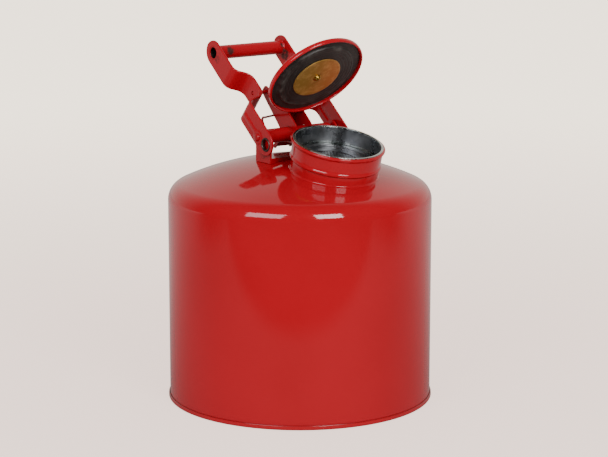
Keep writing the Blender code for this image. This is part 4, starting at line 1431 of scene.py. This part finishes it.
    def eyelet(self, side: int, name: str, finish: bpy.types.Material) -> None:
        """The steel eyelet rolled into the strap's lower end."""
        middle = self.low_half - self.sheet / 2
        line = rounded_line(
            [
                Corner(8.35, 1.9, 0.5),
                Corner(8.35, -1.9, 0.5),
                Corner(6.2, -1.9, 0.9),
                Corner(6.2, 1.9, 0.9),
            ],
            True,
            4,
        )
        shape = turned(line, True, 64)
        bmesh.ops.transform(shape, matrix=across(), verts=shape.verts)
        shift(shape, side * middle, self.offset, self.eyelet_z)
        made = to_mesh(f"rolled_eyelet_{name}", shape, HANDLE.matrix())
        self.fit(made, finish, Slot.ZINC, [f"strap_eyelet_{name}"])

    def grip(self, finish: bpy.types.Material, weld: bpy.types.Material, bare: bpy.types.Material) -> None:
        """The open tube of the grip, a near-black lining that paints the shade in its bore, and the weld
        beads that hold it to the straps.
        """
        shape = tube_shape(self.grip_r, self.grip_r - 1.5, self.top_half - 0.1, 0.5)
        shift(shape, 0.0, self.offset, self.grip_z)
        self.fit(to_mesh("grip_tube", shape, HANDLE.matrix()), finish, Slot.PART_ENAMEL, ["handle_grip"])
        # Painted shade: a near-black bare-steel lining just inside the tube darkens the bore.
        bore = tube_shape(self.grip_r - 1.47, self.grip_r - 1.75, self.top_half - 0.8, 0.1)
        shift(bore, 0.0, self.offset, self.grip_z)
        self.fit(to_mesh("grip_bore_shade_lining", bore, HANDLE.matrix()), bare, Slot.PART_ENAMEL, [])
        for side, name in ((-1, "left"), (1, "right")):
            bead = self.weld_bead(side)
            self.fit(to_mesh(f"grip_weld_{name}", bead, HANDLE.matrix()), weld, Slot.PART_ENAMEL, [])

    def weld_bead(self, side: int) -> bmesh.types.BMesh:
        """A lumpy ring of weld where the grip meets the inside of a strap."""
        low, high = self.grip_r - 0.3, self.grip_r + 1.9
        line = rounded_line([Corner(low, 0.0), Corner(high, 0.0, 0.6), Corner(low, 2.0, 0.6)], True, 5)
        bead = turned(line, True, 96)
        for vert in bead.verts:
            a = math.atan2(vert.co.y, vert.co.x)
            ripple = 1.0 + 0.035 * math.sin(13 * a + 0.7) + 0.025 * math.sin(29 * a)
            radius = math.hypot(vert.co.x, vert.co.y)
            if radius > (self.grip_r + 0.2) * MM:
                vert.co.x *= ripple
                vert.co.y *= ripple
        turn = Matrix.Rotation(-side * math.pi / 2, 4, "Y")
        inside = self.top_half - self.sheet
        place = Matrix.Translation(Vector((side * inside, self.offset, self.grip_z)) * MM) @ turn
        bmesh.ops.transform(bead, matrix=place, verts=bead.verts)
        return bead

    def waist(self, finish: bpy.types.Material) -> None:
        """The rod across the waist, peened into both straps."""
        half = self.waist_half - 0.9
        r = self.rod_r
        line = rounded_line(
            [Corner(0.0, half), Corner(r, half, 0.5), Corner(r, -half, 0.5), Corner(0.0, -half)],
            False,
            3,
        )
        shape = turned(line, True, 40)
        bmesh.ops.transform(shape, matrix=across(), verts=shape.verts)
        shift(shape, 0.0, self.offset, self.rod_z)
        self.fit(to_mesh("peened_waist_rod", shape, HANDLE.matrix()), finish, Slot.PART_ENAMEL, ["waist_rod"])

    def build(self, paints: dict[str, bpy.types.Material]) -> None:
        """Builds every piece of the handle."""
        for side, name in ((-1, "left"), (1, "right")):
            self.strap(side, name, paints["strap"])
            self.eyelet(side, name, paints["eyelet"])
        self.grip(paints["grip"], paints["strap"], paints["bore_shade"])
        self.waist(paints["lever"])


# ---------------------------------------------------------------- studio


@dataclass(frozen=True)
class Softbox:
    """A soft lamp: azimuth from the camera's side and elevation in degrees, sizes in metres, power."""

    name: str
    azimuth: float
    elevation: float
    width: float
    height: float
    power: float
    distance: float = 4.6
    colour: tuple[float, float, float] = (1.0, 0.98, 0.96)


@dataclass
class Studio:
    """The pale floor, the lamps, the surroundings and the camera."""

    eye: tuple[float, float, float] = (-1.468, -2.0155, 0.7146)
    look: tuple[float, float, float] = (0.5783, 0.7907, -0.2008)
    lens: float = 126.04
    table_front: float = 0.56
    table_side: float = 1.05

    def camera(self) -> None:
        """The camera at the viewing angle."""
        data = bpy.data.cameras.new("camera")
        data.sensor_width = 36.0
        data.lens = self.lens
        data.clip_start = 0.1
        data.clip_end = 100.0
        data.dof.use_dof = False
        made = bpy.data.objects.new("camera", data)
        made.location = self.eye
        made.rotation_mode = "QUATERNION"
        made.rotation_quaternion = Vector(self.look).to_track_quat("-Z", "Y")
        bpy.context.scene.collection.objects.link(made)
        bpy.context.scene.camera = made

    def heading(self) -> float:
        """The azimuth of the camera's side of the can."""
        return math.atan2(self.eye[1], self.eye[0])

    def softbox(self, box: Softbox) -> None:
        """Hangs one lamp."""
        data = bpy.data.lights.new(box.name, "AREA")
        data.shape = "RECTANGLE"
        data.size = box.width
        data.size_y = box.height
        data.energy = box.power
        data.color = box.colour
        made = bpy.data.objects.new(box.name, data)
        a = self.heading() + math.radians(box.azimuth)
        e = math.radians(box.elevation)
        way = Vector((math.cos(a) * math.cos(e), math.sin(a) * math.cos(e), math.sin(e)))
        target = Vector((0.0, 0.0, 0.25))
        made.location = target + way * box.distance
        made.rotation_mode = "QUATERNION"
        made.rotation_quaternion = (-way).to_track_quat("-Z", "Y")
        bpy.context.scene.collection.objects.link(made)

    def floor(self) -> None:
        """A wide pale floor. To glossy surfaces it is a table top with a dark room in front of it."""
        shape = bmesh.new()
        bmesh.ops.create_grid(shape, x_segments=8, y_segments=8, size=40.0)
        made = to_mesh("pale_floor", shape)
        finish = bpy.data.materials.new("pale_paper")
        finish.use_nodes = True
        tree = finish.node_tree
        shader = tree.nodes["Principled BSDF"]
        where = add_node(tree, "ShaderNodeTexCoord").outputs["Object"]
        tone = noise(tree, where, 900.0, 2.0)
        tree.links.new(mixed(tree, tone, linear("#EAE4DF"), linear("#EDE7E2")), shader.inputs["Base Color"])
        shader.inputs["Roughness"].default_value = 0.9
        shader.inputs["Specular IOR Level"].default_value = 0.1
        a = self.heading()
        front = along(tree, where, (math.cos(a), math.sin(a), 0.0))
        side = along(tree, where, (-math.sin(a), math.cos(a), 0.0))
        past_front = ramp(tree, front, self.table_front - 0.04, self.table_front + 0.12)
        wide = maths(tree, "ABSOLUTE", side)
        past_side = ramp(tree, wide, self.table_side - 0.1, self.table_side + 0.25)
        ahead = ramp(tree, front, -0.3, 0.3)
        past = maths(tree, "MAXIMUM", past_front, maths(tree, "MULTIPLY", past_side, ahead))
        rays = add_node(tree, "ShaderNodeLightPath")
        shine = ramp(tree, front, 0.3, -0.9, 0.27, 0.7)
        table = add_node(tree, "ShaderNodeEmission", {"Color": (1.0, 0.9, 0.86, 1.0), "Strength": shine})
        room = add_node(tree, "ShaderNodeEmission", {"Color": (0.012, 0.011, 0.012, 1.0)})
        mirrored = add_node(tree, "ShaderNodeMixShader", {0: past, 1: table.outputs[0], 2: room.outputs[0]})
        distance = add_node(tree, "ShaderNodeVectorMath", {0: where}, operation="LENGTH").outputs["Value"]
        far = ramp(tree, distance, 0.2, 2.6)
        glow = add_node(
            tree,
            "ShaderNodeEmission",
            {"Color": mixed(tree, far, (2.75, 2.1, 1.85, 1.0), (4.3, 3.7, 3.0, 1.0)), "Strength": 1.0},
        )
        glowing = maths(tree, "MULTIPLY", rays.outputs["Is Camera Ray"], 0.62)
        lit = add_node(tree, "ShaderNodeMixShader", {0: glowing, 1: shader.outputs[0], 2: glow.outputs[0]})
        blend = add_node(
            tree,
            "ShaderNodeMixShader",
            {0: rays.outputs["Is Glossy Ray"], 1: lit.outputs[0], 2: mirrored.outputs[0]},
        )
        tree.links.new(blend.outputs[0], tree.nodes["Material Output"].inputs["Surface"])
        made.data.materials.append(finish)

    def surroundings(self) -> None:
        """Even pale light all round; in reflections the room is pale behind and dark in front."""
        world = bpy.data.worlds.new("studio")
        bpy.context.scene.world = world
        world.use_nodes = True
        tree = world.node_tree
        a = self.heading()
        way = add_node(tree, "ShaderNodeTexCoord").outputs["Generated"]
        back = along(tree, way, (-math.cos(a), -math.sin(a), 0.0))
        mirrored = ramp(tree, back, 0.0, 0.92, 0.012, 0.9)
        path = add_node(tree, "ShaderNodeLightPath")
        seen = add_node(
            tree,
            "ShaderNodeMix",
            {"Factor": path.outputs["Is Camera Ray"], 2: 0.95, 3: 3.0},
            data_type="FLOAT",
        )
        strength = add_node(
            tree,
            "ShaderNodeMix",
            {"Factor": path.outputs["Is Glossy Ray"], 2: seen.outputs[0], 3: mirrored},
            data_type="FLOAT",
        )
        ground = tree.nodes["Background"]
        ground.inputs["Color"].default_value = linear("#FFF6EC")
        tree.links.new(strength.outputs[0], ground.inputs["Strength"])

    def build(self) -> None:
        """Sets up the studio."""
        self.camera()
        self.floor()
        self.surroundings()
        self.softbox(Softbox("softbox_left", -32.0, 29.0, 2.5, 1.9, 105.0, colour=(0.97, 0.96, 1.0)))
        self.softbox(Softbox("softbox_right", 26.0, 27.0, 1.75, 1.85, 155.0))


# ---------------------------------------------------------------- finishes of this can


def on_handle(x: float, y: float, z: float) -> tuple[float, float, float]:
    """A point of the handle's frame in millimetres, in the can's frame in metres."""
    return tuple(HANDLE.matrix() @ (Vector((x, y, z)) * MM))


def on_lid(x: float, y: float, z: float) -> tuple[float, float, float]:
    """A point of the lid's frame in millimetres, in the can's frame in metres."""
    return tuple(LID.matrix() @ (Vector((x, y, z)) * MM))


def paints() -> dict[str, bpy.types.Material]:
    """Makes every finish of the can."""
    level = Tilt(0.0, 0.0, 0.0)
    return {
        "shell": Enamel("gloss_red_enamel").make(),
        # The hem's colour is darker along its top edge, where it meets the wall, and along its bottom edge.
        "hem": Enamel(
            "hem_red_enamel", roughness=0.12, bands=(Band(level, 5.6, 0.7, 0.55), Band(level, 0.0, 0.9, 0.4))
        ).make(),
        "neck": Enamel(
            "neck_red_enamel",
            roughness=0.08,
            # Painted shade: a dark line at the foot of the collar and a fainter one under the rolled bead.
            bands=(Band(NECK, -25.1, 0.8, 0.75), Band(NECK, -5.6, 0.7, 0.25)),
        ).make(),
        "bracket": Enamel(
            "bracket_red_enamel",
            gloss=0.22,
            roughness=0.14,
            spots=(Spot((-0.030, -0.012, 0.2965), 22.0, 0.5), Spot((-0.0505, 0.0, 0.300), 14.0, 0.4)),
        ).make(),
        "cap": Enamel("cap_red_enamel", roughness=0.12).make(),
        "lever": Enamel(
            "lever_red_enamel",
            gloss=0.22,
            thin="#860D17",
            roughness=0.16,
            peel=2.4,
            spots=(Spot(on_lid(-12, 0, 0), 16.0, 0.5), Spot(on_lid(12, 4, 30), 18.0, 0.35)),
        ).make(),
        "strap": Enamel(
            "strap_red_enamel",
            gloss=0.22,
            thin="#880D18",
            roughness=0.17,
            peel=2.2,
            peel_height=0.006,
            spots=(
                Spot(on_handle(48.0, -4.7, 123.0), 15.0, 0.9),
                Spot(on_handle(-48.0, -4.7, 124.0), 10.0, 0.6),
                Spot(on_handle(-57.0, -4.7, -16.5), 13.0, 0.45),
                Spot(on_handle(57.0, -4.7, -16.5), 13.0, 0.45),
                Spot(on_handle(-57.5, 0.0, 0.0), 7.0, 0.3),
            ),
        ).make(),
        "grip": Enamel(
            "grip_red_enamel",
            gloss=0.22,
            thin="#880D18",
            roughness=0.18,
            peel=2.2,
            peel_height=0.006,
            spots=(
                Spot(on_handle(-31.0, -11.5, 129.5), 10.0, 0.9),
                Spot(on_handle(-44.0, -10.0, 128.0), 8.0, 0.6),
                Spot(on_handle(46.0, -11.0, 132.0), 7.0, 0.9),
            ),
        ).make(),
        "wire": Enamel(
            "wire_dark_red_enamel", colour="#6E1014", thin="#520C10", roughness=0.22, peel=1.5
        ).make(),
        "zinc": Galvanised("dull_galvanised_steel").make(),
        "bright": Galvanised(
            "bright_tinned_rim", light="#D5DAD8", dark="#8F9896", roughness=0.24, stain_size=20.0
        ).make(),
        "pin": Galvanised(
            "zinc_plated_pin", light="#9AA09C", dark="#5A5F5C", roughness=0.34, spangle=4.0
        ).make(),
        "eyelet": Galvanised("grimy_rolled_eyelet", light="#6A6660", dark="#37332F", roughness=0.42).make(),
        # Near-black bare steel that paints the shade inside the grip's bore.
        "bore_shade": Galvanised("bare_steel_bore_shade", light="#4A4340", dark="#2A2524", roughness=0.5).make(),
        "rubber": GasketRubber("black_nitrile_rubber").make(),
        "brass": Brass("tarnished_sheet_brass").make(),
        "bright_brass": Brass(
            "rubbed_brass_nut",
            bright="#E6C46A",
            tarnish="#C79A40",
            shaded_side_olive="#B98E38",
            roughness=0.25,
            metallic=1.0,
        ).make(),
    }


def main() -> None:
    """Builds the can, its finishes and the studio."""
    logging.basicConfig(level=logging.INFO, format="%(message)s")
    finish = paints()
    CanBody(Body.CAN).build(finish["shell"], finish["hem"])
    Neck(Body.CAN).build(finish["neck"], finish["zinc"], finish["bright"])
    HingeBase(Body.CAN).build(finish["bracket"], finish["strap"], finish["pin"])
    Lid(Body.LID).build(finish)
    Handle(Body.HANDLE).build(finish)
    Studio().build()


if __name__ == "__main__":
    main()
